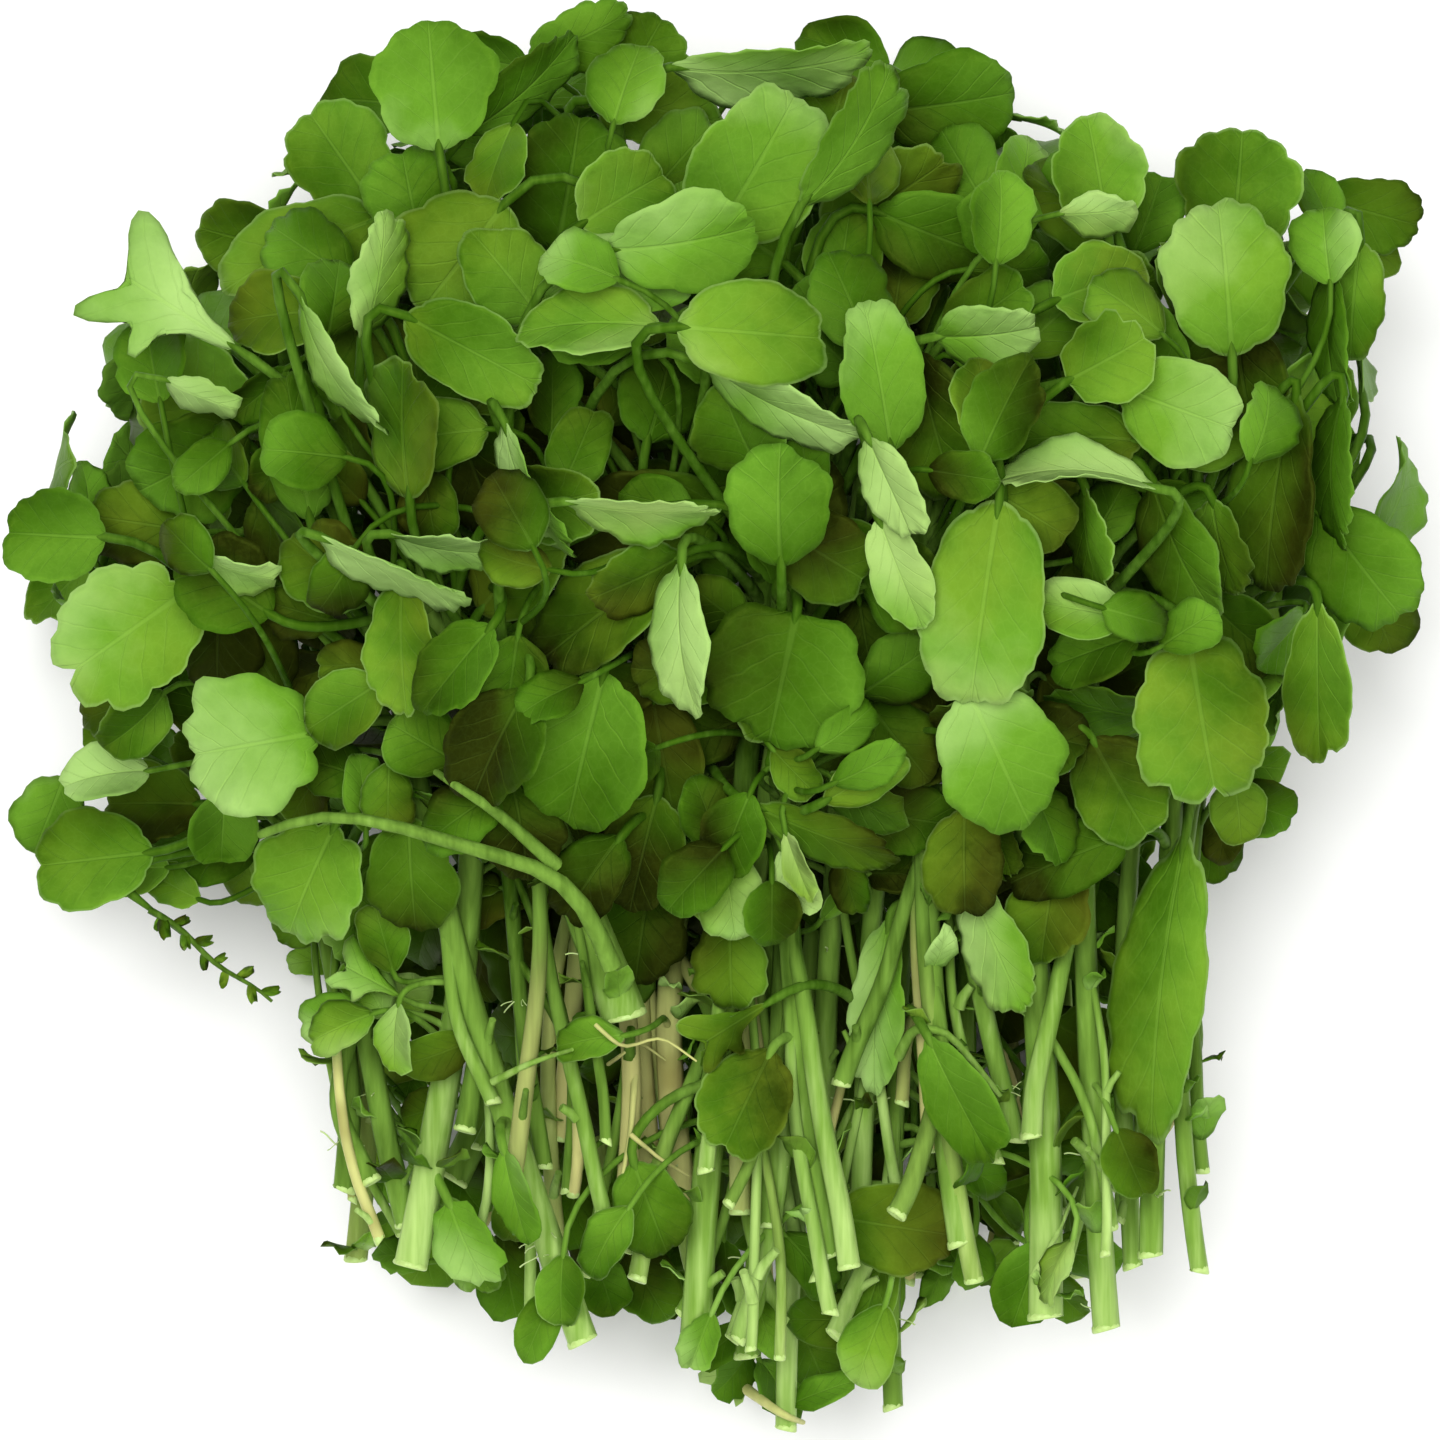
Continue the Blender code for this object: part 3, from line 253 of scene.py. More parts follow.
GREEN_LEAVES = [
    ("round", -18.9, 88.0, 14, 9, 25, 5, 15),
    ("long", -25.7, 81.3, 18, 11, 42, 5, 50),
    ("round", -33.4, 59.5, 18, 18, 232, -4, -5),
    ("round", 35.1, 64.4, 11, 11, 85, 10, 10),
    ("round", 66.3, 68.3, 17, 16, 85, 0, 5),
    ("long", 78.0, 49.4, 18, 10, 275, -8, 60),
    ("long", 78.3, 32.2, 19, 11, 270, -8, 60),
    ("round", 82.2, 20.2, 18, 14, 308, -12, 10),
    ("long", 76.7, 4.6, 21, 9, 272, -15, 10),
    ("round", 27.0, 37.7, 20, 12, 285, -12, 15),
    ("small", 33.4, 40.3, 11, 8, 300, -10, 15),
    ("round", 44.9, 36.4, 18, 10, 180, 0, 20),
    ("long", 58.5, 21.5, 19, 11, 295, -12, 30),
    ("round", 64.0, 22.4, 13, 10, 285, -10, 50),
    ("round", 46.8, 22.8, 15, 10, 280, -12, 60),
    ("small", 47.5, 9.1, 12, 9, 200, -10, 10),
    ("round", 51.0, -8.5, 15, 13, 300, -12, 10),
    ("small", 70.0, -11.2, 9, 8, 340, -5, 0),
    ("long", 56.6, -34.5, 38, 13, 268, -4, 15),
    ("round", -54.6, 35.0, 19, 10, 100, 5, 10),
    ("round", -86.0, 24.0, 13, 13, 175, 0, -5),
    ("small", -37.7, 27.6, 10, 8, 280, -5, 5),
    ("round", -15.0, 14.3, 21, 14, 217, -8, 25),
    ("heart", 7.8, 6.8, 20, 20, 258, -12, 0),
    ("small", -38.7, -2.6, 10, 10, 150, 0, 0),
    ("round", -82.0, -17.9, 16, 13, 187, -4, 5),
    ("round", -40.3, -19.8, 15, 12, 275, -10, 5),
    ("small", -46.5, -9.1, 10, 6, 95, 5, 20),
    ("twig", -66.8, -30.5, 20, 3, 322, -5, 0),
    ("small", 0.3, -30.6, 9, 7, 260, -5, 10),
    ("small", 9.1, -3.3, 9, 6, 40, 5, 10),
    ("small", -2.0, -12.0, 10, 8, 110, 5, 10),
]
BRIGHT_LEAVES = [
    ("round", -37.3, 81.6, 17, 16, 95, 5, 0),
    ("round", 3.9, 70.5, 21, 18, 60, 5, 10),
    ("long", 16.6, 74.1, 20, 12, 58, 5, 45),
    ("round", -12.7, 56.5, 20, 12, 184, -4, 20),
    ("round", -5.2, 61.0, 20, 13, 10, 0, 20),
    ("round", -16.9, 50.7, 18, 11, 180, -4, 35),
    ("round", 3.3, 49.4, 19, 14, 350, -5, 5),
    ("round", -32.5, 47.5, 19, 12, 332, -5, 5),
    ("round", 48.1, 70.2, 14, 13, 100, 5, 5),
    ("round", 64.5, 56.6, 20, 17, 95, 0, 5),
    ("round", 81.3, 54.6, 15, 9, 265, -8, 15),
    ("round", 19.9, 43.6, 19, 12, 100, 5, 15),
    ("round", 33.4, 49.4, 13, 12, 5, 5, 45),
    ("fan", 48.8, 46.2, 12, 12, 30, 0, 10),
    ("round", 58.2, 40.0, 16, 14, 340, -5, 5),
    ("fan", -76.3, 11.7, 20, 18, 215, -10, -5),
    ("long", -41.2, 9.1, 18, 10, 272, -12, 20),
    ("round", -17.8, -3.6, 21, 17, 255, -12, 5),
    ("fan", -60.5, -2.9, 18, 18, 190, -5, 0),
    ("fan", -53.3, -20.2, 16, 15, 250, -12, 5),
    ("fan", -47.5, -25.8, 11, 10, 262, -12, 0),
    ("round", 35.1, -4.2, 19, 17, 295, -14, 0),
    ("fan", 61.4, 0.7, 22, 18, 280, -14, 5),
    ("round", 33.2, 15.2, 27, 17, 262, -12, 5),
    ("small", 45.9, 14.3, 12, 8, 170, 0, 10),
    ("small", -1.3, -22.1, 9, 7, 300, -5, 5),
    ("small", -46.0, -34.5, 9, 7, 120, 5, 5),
    ("small", -50.7, -38.4, 9, 7, 190, 0, 5),
    ("small", -42.3, -36.4, 9, 7, 40, 5, 5),
    ("long", -33.8, -68.0, 14, 8, 300, -4, 10),
    ("small", 18.9, -81.0, 11, 8, 250, -4, 10),
    ("small", 18.2, -7.2, 12, 7, 30, 0, 20),
]
PALE_LEAVES = [
    ("long", 5.9, 83.6, 24, 13, 4, 0, 52),
    ("long", -44.2, 56.8, 16, 10, 80, 10, 45),
    ("long", -50.0, 44.5, 20, 11, 304, -8, 68),
    ("cut", -72.0, 54.0, 22, 20, 148, 0, 0),
    ("small", -66.7, 41.6, 10, 8, 340, 0, 55),
    ("small", -61.8, 19.2, 10, 9, 345, 0, 65),
    ("long", -42.0, 19.2, 20, 12, 340, -5, 70),
    ("long", -35.5, 22.0, 14, 10, 352, -5, 64),
    ("long", -25.0, 29.0, 18, 11, 298, -8, 66),
    ("long", -10.4, 26.8, 19, 12, 355, 0, 66),
    ("long", -5.5, 10.4, 19, 10, 275, -10, 40),
    ("small", -80.2, -6.9, 11, 9, 190, 0, 28),
    ("small", 48.1, 65.3, 10, 8, 5, 0, 45),
    ("long", 44.9, 32.0, 20, 12, 178, 0, 64),
    ("long", 7.2, 40.0, 21, 12, 335, -5, 58),
    ("round", 21.2, 29.9, 14, 9, 298, -5, 40),
    ("round", 22.4, 19.1, 15, 8, 292, -8, 15),
    ("long", 19.8, -37.0, 22, 8, 265, -4, 20),
    ("small", 9.1, -20.8, 9, 6, 290, -5, 20),
]
# Each group's tone paints shade on the lower groups and light on the bright one; the pale group's tone is its
# own paler colour
GROUPS = [
    (SHADED_LEAVES, -13.0, 0.17),
    (GREEN_LEAVES, -6.0, 0.36),
    (BRIGHT_LEAVES, -1.0, 0.62),
    (PALE_LEAVES, 1.0, 0.92),
]

# Leaves pressed flat on the table, which the bunch rests on: centre x, y, length, width, way of the tip
RESTING_LEAVES = [
    (-46.0, 40.0, 18, 16, 160),
    (44.0, 46.0, 18, 16, 30),
    (-30.0, -4.0, 17, 15, 220),
    (34.0, -2.0, 17, 15, 310),
    (2.0, 66.0, 17, 15, 85),
]


def unit(vector):
    return vector / max(np.linalg.norm(vector), 1e-9)


def square_to(along):
    """Two ways square to a stem: level to its side, and up from it."""
    side = unit(np.cross(along, (0.0, 0.0, 1.0)))
    return side, np.cross(side, along)


def around(along, turn):
    """The way straight out of a stem, at an angle round it."""
    side, up = square_to(along)
    return side * math.cos(turn) + up * math.sin(turn)


class Stem:
    """A cut stem: a curve from its cut end through its waist to its crown, and the leaves on it."""

    def __init__(self, foot, waist, crown, girths):
        self.foot, waist, self.crown = np.array(foot), np.array(waist), np.array(crown)
        below, above = np.linalg.norm(waist - self.foot), np.linalg.norm(self.crown - waist)
        share = below / (below + above)
        rest = 1 - share
        self.bend = (waist - rest**2 * self.foot - share**2 * self.crown) / (2 * rest * share)
        self.girths = girths
        self.leaves = []
        self.shoots, self.scraps = [], []

    def at(self, share):
        """Point, direction and radius at a share of the way from the cut end to the crown."""
        rest = 1 - share
        point = rest * rest * self.foot + 2 * rest * share * self.bend + share * share * self.crown
        along = rest * (self.bend - self.foot) + share * (self.crown - self.bend)
        return point, unit(along), self.girths[0] * rest + self.girths[1] * share

    def on_tube(self, share):
        """The same on the straight lengths that the tube is cut into."""
        lengths = STEM_POINTS - 1
        low = min(int(share * lengths), lengths - 1)
        start, end = self.at(low / lengths)[0], self.at((low + 1) / lengths)[0]
        part = share * lengths - low
        return start + (end - start) * part, unit(end - start), self.at(share)[2]

    def share_near(self, point):
        """The share of the stem nearest to a point."""
        shares = np.linspace(0, 1, 120)
        return shares[np.argmin([np.linalg.norm(self.on_tube(share)[0] - point) for share in shares])]

    def line(self, count):
        return np.array([self.on_tube(i / (count - 1))[0] for i in range(count)])

    def lift(self, rise):
        for point in (self.foot, self.bend, self.crown):
            point[2] += rise


class Leaf:
    """One blade on a stalk. The blade lies in the plane of side and along, and its upper face looks up."""

    def __init__(self, kind, centre, along, up, length, width, curl):
        self.kind = KINDS[kind]
        self.centre = np.array(centre, float)
        self.along = unit(np.array(along, float))
        self.side = unit(np.cross(self.along, up))
        self.up = np.cross(self.side, self.along)
        self.length = length
        self.width = width
        self.cup, self.arch, self.ripple, self.phase = curl
        self.flat = not any(curl[:3])
        self.stalk = None
        self.tone = None
        self.stalk_radius = STALK_RADIUS[0] if length < 12 else STALK_RADIUS[1]

    def on_blade(self, angle, reach, lift=0.0, grow=0.0):
        """The point of the blade at an angle round it, 0 at the base and pi at the tip, and at a share of the
        way from its middle to its edge."""
        kind = self.kind
        turn = min(angle, 2 * math.pi - angle)
        scallop = 1 + kind["depth"] * math.cos(kind["scallops"] * angle) * reach**2
        nearness = ((1 + math.cos(angle)) / 2) ** 2
        across = reach * (self.width / 2) * math.sin(angle) * scallop * (1 - kind["taper"] * nearness)
        forward = -reach * (self.length / 2) * math.cos(angle) * scallop
        forward += kind["notch"] * self.length * math.exp(-((turn / 0.5) ** 2)) * reach
        swell = 1 + grow / (self.width / 2)
        across *= swell
        forward *= swell
        height = self.cup * (2 * across / self.width) ** 2 * self.width / 2
        height -= self.arch * (2 * forward / self.length) ** 2 * self.length / 2
        height += self.ripple * math.sin(3 * angle + self.phase) * reach**3 * self.width / 2
        return self.centre + self.side * across + self.along * forward + self.up * (height + lift)

    def base(self):
        return self.on_blade(0.0, 1.0)

    def set_stalk(self, root, leaving):
        """The stalk's curve, from its root in the stem to the blade's base."""
        base = self.base()
        pull = np.linalg.norm(base - root) / 3
        arrive = base - self.along * pull
        if self.flat:
            arrive[2] += pull / 2
        self.root = root
        self.stalk = np.array([root, root + leaving * pull, arrive, base])
        steps = np.linspace(0, 1, FRAME_STEPS + 1)[:, None]
        a, b, c = self.stalk[1:] - self.stalk[:-1]
        ways = (1 - steps) ** 2 * a + 2 * (1 - steps) * steps * b + steps**2 * c
        ways /= np.linalg.norm(ways, axis=1)[:, None]
        self.sides = [self.side]
        for way in ways[::-1]:
            side = self.sides[0] - way * np.dot(self.sides[0], way)
            self.sides.insert(0, unit(side))

    def stalk_at(self, share):
        """Point and direction of the stalk at a share of the way from its root to the blade."""
        a, b, c, d = self.stalk
        rest = 1 - share
        point = rest**3 * a + 3 * rest**2 * share * b + 3 * rest * share**2 * c + share**3 * d
        along = rest**2 * (b - a) + 2 * rest * share * (c - b) + share**2 * (d - c)
        return point, unit(along)

    def outline(self, grow=0.0):
        """The edge, from the right of the base round the tip to the left of the base."""
        count = self.kind["scallops"] * self.kind["points"]
        base = self.on_blade(0.0, 1.0, grow=grow)
        half = self.side * (self.stalk_radius + grow)
        around = [self.on_blade(2 * math.pi * i / count, 1.0, grow=grow) for i in range(1, count)]
        return [base + half, *around, base - half]

    def ribs(self, grow=0.0):
        """Two points over and two points under the midrib, and one under the base."""
        over = 0.0 if self.flat else BLADE_HALF + grow
        under = 2 * BLADE_HALF + grow if self.flat else BLADE_HALF + grow
        spots = ((0.0, 0.42), (math.pi, 0.42))
        points = [self.on_blade(angle, reach, over) for angle, reach in spots]
        points += [self.on_blade(angle, reach, -under) for angle, reach in spots]
        return [*points, self.base() - self.up * 1.5 * (self.stalk_radius + grow)]

    def ring_shares(self):
        """Where along the stalk it has a ring of corners. A long stalk has one more."""
        long_stalk = np.linalg.norm(self.stalk[3] - self.stalk[0]) > LONG_STALK
        return (0.0, 0.4, 0.7) if long_stalk else (0.0, 0.6)

    def rings(self, shares, grow=0.0):
        """Three-cornered rings round the stalk at the given shares of its length, root first."""
        found = []
        radius = self.stalk_radius + grow
        for share in shares:
            point, along = self.stalk_at(share)
            side = self.sides[round(share * FRAME_STEPS)]
            side = unit(side - along * np.dot(side, along))
            up = np.cross(side, along)
            found.append([point + side * radius, point - side * radius, point - up * 1.5 * radius])
        return found

    def lowest(self):
        points = self.outline() + self.ribs()
        if self.stalk is not None:
            points += [corner for ring in self.rings(self.ring_shares()) for corner in ring]
        return min(point[2] for point in points)


def blade_faces(count):
    """Triangles of a blade whose outline has this many points, followed by the five rib points."""
    over_base, over_tip, under_base, under_tip, heel = range(count, count + 5)
    first = -(-(count - 1) // 4)
    last = count - 1 - first
    faces = []
    for i in range(count - 1):
        near_base = i < first or i >= last
        faces.append((i, i + 1, over_base if near_base else over_tip))
        faces.append((i + 1, i, under_base if near_base else under_tip))
    faces += [(first, over_tip, over_base), (last, over_base, over_tip)]
    faces += [(under_tip, first, under_base), (under_base, last, under_tip)]
    faces += [(count - 1, 0, over_base), (0, heel, under_base), (heel, count - 1, under_base)]
    return faces


def tube_faces(rings, first, last_ring):
    """Triangles between three-cornered rings that start at a vertex number, up to a last ring of its own."""
    numbers = [[first + 3 * k + i for i in range(3)] for k in range(rings)] + [last_ring]
    faces = []
    for (right, left, low), (right_2, left_2, low_2) in zip(numbers, numbers[1:]):
        faces += [(left, right, right_2), (left, right_2, left_2)]
        faces += [(right, low, low_2), (right, low_2, right_2)]
        faces += [(low, left, left_2), (low, left_2, low_2)]
    right, left, low = numbers[0]
    faces.append((right, left, low))
    return faces


def blade_mesh(leaf, grow=0.0):
    """A closed blade with no stalk."""
    edge = leaf.outline(grow)
    count = len(edge)
    faces = blade_faces(count) + [(0, count - 1, count + 4)]
    return np.round(edge + leaf.ribs(grow), 3), faces


def stalk_mesh(leaf, grow=0.0):
    """A closed stalk with no blade, which ends just short of the blade."""
    rings = leaf.rings((*leaf.ring_shares(), STALK_END), grow)
    points = [corner for ring in rings for corner in ring]
    last = [len(points) - 3, len(points) - 2, len(points) - 1]
    faces = tube_faces(len(rings) - 1, 0, last)
    faces.append((last[1], last[0], last[2]))
    return np.round(points, 3), faces


class Thicket:
    """Everything placed so far, to find what a new piece would touch."""

    def __init__(self):
        self.lows = np.empty((0, 3))
        self.highs = np.empty((0, 3))
        self.trees = []
        self.owners = []

    def add(self, mesh, owner):
        points, faces = mesh
        self.lows = np.vstack([self.lows, points.min(0)])
        self.highs = np.vstack([self.highs, points.max(0)])
        self.trees.append(BVHTree.FromPolygons(points.tolist(), faces, all_triangles=True))
        self.owners.append(owner)

    def touches(self, mesh, leave_out=-1):
        points, faces = mesh
        low, high = points.min(0), points.max(0)
        near = np.flatnonzero(((self.lows <= high) & (self.highs >= low)).all(1))
        if not len(near):
            return False
        tree = BVHTree.FromPolygons(points.tolist(), faces, all_triangles=True)
        return any(self.owners[i] != leave_out and tree.overlap(self.trees[i]) for i in near)


def stem_mesh(stem):
    """A plain tube round a stem, for finding what touches it."""
    points = []
    for i in range(STEM_POINTS):
        point, along, radius = stem.at(i / (STEM_POINTS - 1))
        side, up = square_to(along)
        for k in range(TUBE_SIDES):
            turn = 2 * math.pi * k / TUBE_SIDES
            points.append(point + (side * math.cos(turn) + up * math.sin(turn)) * radius)
    return np.round(points, 3), [
        face
        for a, b in ring_pairs(STEM_POINTS - 1, TUBE_SIDES)
        for face in ((a, b, b + TUBE_SIDES), (a, b + TUBE_SIDES, a + TUBE_SIDES))
    ]


def ring_pairs(rings, sides):
    """The numbers of each point and of the next one round, ring by ring."""
    return [(i * sides + k, i * sides + (k + 1) % sides) for i in range(rings) for k in range(sides)]


def lower_stems(random):
    """The stems under those that the top view shows, in layers from the table up."""
    rows = (LOWER_FEET, LOWER_WAISTS, LOWER_CROWNS)
    steps = (LAYER_STEP, LAYER_STEP, CROWN_STEP)
    found = []
    for layer in range(LOWER_LAYERS):
        for i in range(STEMS_IN_LAYER):
            place = (2 * i + 1) / STEMS_IN_LAYER - 1
            share = (0.31 + 0.618 * (i + STEMS_IN_LAYER * layer)) % 1.0
            spread = math.sqrt(1 - 0.6 * place**2)
            across = [row[0] + side * place for row, side in zip(rows, LOWER_SPREADS)]
            rise = [first + step * layer for first, step in zip(LOWER_HEIGHTS, steps)]
            foot = (across[0], LOWER_FEET[1] + random.uniform(-8, 6), rise[0])
            waist = (across[1] + random.uniform(-2, 2), LOWER_WAISTS[1], rise[1])
            crown = (across[2], LOWER_CROWNS[1] + LOWER_DEPTH * share * spread, rise[2])
            thick = random.uniform(*LOWER_GIRTHS)
            found.append(Stem(foot, waist, crown, (thick, LOWER_TAPER * thick)))
    return found


def place_stems(random):
    """Every stem, each raised until it is clear of those placed before it."""
    stems = lower_stems(random)
    for row in UPPER_STEMS:
        foot = (row[0], row[1], row[4] - 2)
        stems.append(Stem(foot, row[2:5], row[5:8], row[8:10]))
    samples = 60
    placed = []
    for stem in stems:
        radii = np.array([stem.at(i / (samples - 1))[2] for i in range(samples)])
        while True:
            line = stem.line(samples)
            low = (line[:, 2] - radii).min()
            if low < STEM_TABLE_GAP:
                stem.lift(STEM_TABLE_GAP - low + 0.01)
                continue
            gaps = [
                (np.linalg.norm(line[:, None] - other[None], axis=2) - radii[:, None] - thick[None]).min()
                for other, thick in placed
            ]
            if not gaps or min(gaps) > GAP:
                break
            stem.lift(LIFT_STEP)
        placed.append((line, radii))
    return stems


def crosses_itself(leaf):
    """Whether the stalk runs into its own blade before it reaches the base."""
    points, faces = blade_mesh(leaf)
    blade = BVHTree.FromPolygons(points.tolist(), faces, all_triangles=True)
    corners = np.array(leaf.rings((0.0, 0.35, 0.7, 0.9))).reshape(-1, 3)
    tube = tube_faces(3, 0, [9, 10, 11])
    return bool(blade.overlap(BVHTree.FromPolygons(corners.tolist(), tube, all_triangles=True)))


class Spots:
    """The places on the stems where a leaf's stalk can spring from."""

    def __init__(self, stems):
        rows = [
            (number, share, *stem.on_tube(share))
            for number, stem in enumerate(stems)
            for share in np.linspace(*SPOT_SHARES, SPOTS_ON_STEM)
        ]
        self.stem = np.array([row[0] for row in rows])
        self.point = np.array([row[2] for row in rows])
        self.along = np.array([row[3] for row in rows])
        self.radius = np.array([row[4] for row in rows])
        self.free = np.ones(len(rows), bool)
        self.carried = np.zeros(len(stems))

    def nearest(self, leaf, count, reach):
        """Spots that suit a leaf, best first."""
        base = leaf.base()
        way = base - self.point
        distance = np.linalg.norm(way, axis=1)
        way = way / distance[:, None]
        cost = distance + FROM_AHEAD * np.maximum(0, 0.2 - way @ leaf.along)
        cost = cost + DOWN_STEM * np.maximum(0, 0.1 - (way * self.along).sum(1))
        cost = cost + CROWDED * self.carried[self.stem]
        cost[(distance < SHORTEST_STALK) | (distance > reach) | ~self.free] = 1e6
        order = np.argsort(np.round(cost, 3), kind="stable")[:count]
        return [i for i in order if cost[i] < 1e5]

    def take(self, spot):
        own = self.stem == self.stem[spot]
        near = np.linalg.norm(self.point - self.point[spot], axis=1) < SPOT_GAP
        self.free[own & near] = False
        self.carried[self.stem[spot]] += 1


def try_leaf(leaf, stems, spots, thicket, routes, gap=GAP, passes=(True,)):
    """Joins a leaf to a stem if its blade is clear of everything, and its stalk too in a pass that asks for
    it. True if it could."""
    floor = -TINY if leaf.flat else TABLE_GAP
    if leaf.lowest() < floor or thicket.touches(blade_mesh(leaf, gap)):
        return False
    near = spots.nearest(leaf, *routes)
    for clear in passes:
        for spot in near:
            root, along = spots.point[spot], spots.along[spot]
            way = unit(leaf.base() - root)
            turn = min(max(LEAVING - np.dot(way, along), 0.0), MOST_TURN)
            leaf.set_stalk(root, unit(way + turn * along))
            owner = int(spots.stem[spot])
            if leaf.lowest() < floor or crosses_itself(leaf):
                continue
            if clear and thicket.touches(stalk_mesh(leaf, gap), owner):
                continue
            spots.take(spot)
            stems[owner].leaves.append(leaf)
            thicket.add(blade_mesh(leaf), None)
            if clear:
                thicket.add(stalk_mesh(leaf), owner)
            return True
    leaf.stalk = None
    return False


def aimed(heading, pitch, roll):
    """The way of the tip and of the upper face, from angles in degrees."""
    turn, tip, tilt = (math.radians(angle) for angle in (heading, pitch, roll))
    along = np.array([math.cos(tip) * math.cos(turn), math.cos(tip) * math.sin(turn), math.sin(tip)])
    side = np.array([math.sin(turn), -math.cos(turn), 0.0])
    up = np.cross(side, along)
    return along, up * math.cos(tilt) + side * math.sin(tilt)


def crown_height(x, y):
    """Height of the bunch's upper side over a point of the table."""
    from_middle = (x / CROWN_REACH[0]) ** 2 + ((y - HEAD_CENTRE[1]) / CROWN_REACH[1]) ** 2
    return STEM_TOP + CROWN_RISE * math.sqrt(max(0.0, 1 - from_middle))


def drawn_curl(random, bend=1.0):
    return (
        bend * random.uniform(*CUPS),
        bend * random.uniform(*ARCHES),
        bend * random.uniform(*RIPPLES),
        random.uniform(0, ONE_TURN),
    )


def place_seen_leaves(stems, spots, thicket, random):
    """The leaves of the top view, from the lowest group to the highest."""
    for group, sink, tone in GROUPS:
        for kind, x, y, length, width, heading, pitch, roll in group:
            curl = drawn_curl(random, TWIG_CURL if kind == "twig" else 1.0)
            height = crown_height(x, y) + sink
            for attempt in range(SEEN_TRIES):
                rise = SEEN_RISE * attempt if attempt % 3 else -SEEN_DROP * attempt
                sway = SEEN_TURN * attempt * random.uniform(-1, 1)
                along, up = aimed(heading + sway, pitch + sway / 2, roll - sway / 2)
                leaf = Leaf(kind, (x, y, height + rise), along, up, length, width, curl)
                if try_leaf(leaf, stems, spots, thicket, SEEN_ROUTES):
                    leaf.tone = tone
                    break


def place_resting_leaves(stems, spots, thicket):
    for x, y, length, width, heading in RESTING_LEAVES:
        turn = math.radians(heading)
        along = (math.cos(turn), math.sin(turn), 0.0)
        leaf = Leaf("round", (x, y, 0.0), along, (0.0, 0.0, -1.0), length, width, (0, 0, 0, 0))
        try_leaf(leaf, stems, spots, thicket, RESTING_ROUTES)


def place_shell(stems, spots, thicket, random, count, scale, sizes, join=try_leaf):
    """Leaves spread evenly over a shell round the head, facing out of it and pointing away from the stems."""
    golden = math.pi * (3 - math.sqrt(5))
    centre, radii = np.array(HEAD_CENTRE), np.array(HEAD_RADII) * scale
    for i in range(count):
        level = 1 - 2 * (i + 0.5) / count
        ring = math.sqrt(1 - level**2)
        out = np.array([ring * math.cos(golden * i), level, ring * math.sin(golden * i)])
        spot = centre + out * radii
        normal = unit(out / radii)
        crown = min((stem.crown for stem in stems), key=lambda point: np.linalg.norm(point - spot))
        for _ in range(SHELL_TRIES):
            place = spot + normal * random.uniform(*SHELL_DEPTH)
            place = place + np.array([random.uniform(-SHELL_SHIFT, SHELL_SHIFT) for _ in range(3)])
            lean = np.array([random.uniform(-SHELL_LEAN, SHELL_LEAN) for _ in range(3)])
            up = unit(normal + lean)
            away = unit(place - crown) + 0.5 * np.array([random.uniform(-1, 1) for _ in range(3)])
            along = unit(away - up * np.dot(away, up))
            length = random.uniform(*sizes)
            width = length * random.uniform(*SHELL_WIDTHS)
            place[2] = max(place[2], SHELL_LOWEST)
            leaf = Leaf("plain", place, along, up, length, width, drawn_curl(random))
            if join(leaf, stems, spots, thicket, SHELL_ROUTES):
                break


def grow_bunch():
    """The whole layout: stems with their leaves."""
    random = Random(SEED)
    stems = place_stems(random)
    spots = Spots(stems)
    thicket = Thicket()
    for number, stem in enumerate(stems):
        thicket.add(stem_mesh(stem), number)
    place_resting_leaves(stems, spots, thicket)
    place_seen_leaves(stems, spots, thicket, random)
    for shell in (OUTER_SHELL, INNER_SHELL):
        place_shell(stems, spots, thicket, random, *shell)
    return stems, spots, thicket, random


# The fine blade: how thick it is in the middle and at the rim, how its edge frills and waves, how far it
# folds up from the midrib, and how its rings of points crowd outwards
BLADE_THICKNESS = 0.34
RIM_THICKNESS = 0.12
FRILL = 0.30
WAVE = 0.42
FOLD = 0.08
RING_POWER = 0.85
# Its outline: small notches, how tall, uneven and round the scallops are, and slow bulges by number and size
NOTCHES = 0.036
NOTCH_POWER = 0.6
LOBE_GAIN = 1.15
LOBE_UNEVEN = 0.7
LOBE_POWER = 0.7
BULGES = ((2, 0.05), (3, 0.045), (5, 0.03))
# The lobes of a cut leaf: where round the edge as a share of half a turn, how wide, and how tall
CUT_LOBES = ((0.0, 0.40, 0.97), (0.74, 0.50, 1.15), (1.24, 0.36, 1.10), (1.52, 0.26, 0.85), (2.0, 0.40, 0.97))
CUT_REACH = 0.70
CUT_DEPTH = 0.68
CUT_POWER = 1.6
# A leaf's turn is kept in its colour as a share of this
FULL_TURN = 6.3
SMALL_LEAF = 12.5

# Tubes: how far they keep off the table, their rings of points, and where the midrib lies on the blade
TABLE_CLEAR = 0.03
TUBE_CLEAR = 1.1
STEM_RINGS = 44
STALK_RINGS = 11
SHOOT_RINGS = 18
MIDRIB_REACH = (0.75, 0.45, 0.15)
MIDRIB_GIRTH = 0.45
# A stalk is thicker at its foot, where it also looks like its stem
STALK_FOOT = 0.35
STALK_FADE = 10
STALK_TAPER = 0.15
STEM_LOOK_TO = 4.0
OWN_LOOK_FROM = 9.0
# A stem sways and swells where a large leaf springs. A side shoot looks like its stem near its top
STEM_SWAY = 0.22
SWAY_TURNS = 9
JOINT_LEAF = 12
JOINT_WIDTH = 0.012
JOINT_SWELL = 0.16
RIDGES = 5
SHOOT_LOOK_FROM = 0.55
SHOOT_LOOK_RUN = 0.3
# A cut end: points round it, how wide its hollow is, its slant, and its profile as width and depth
CUT_SIDES = 14
HOLLOWS = (0.35, 0.6)
SLANTS = (-0.5, 0.5)
CUT_PROFILE = ((0.9, 0.6), (1.05, 0.1), (1.04, -0.2), (0.94, -0.36))

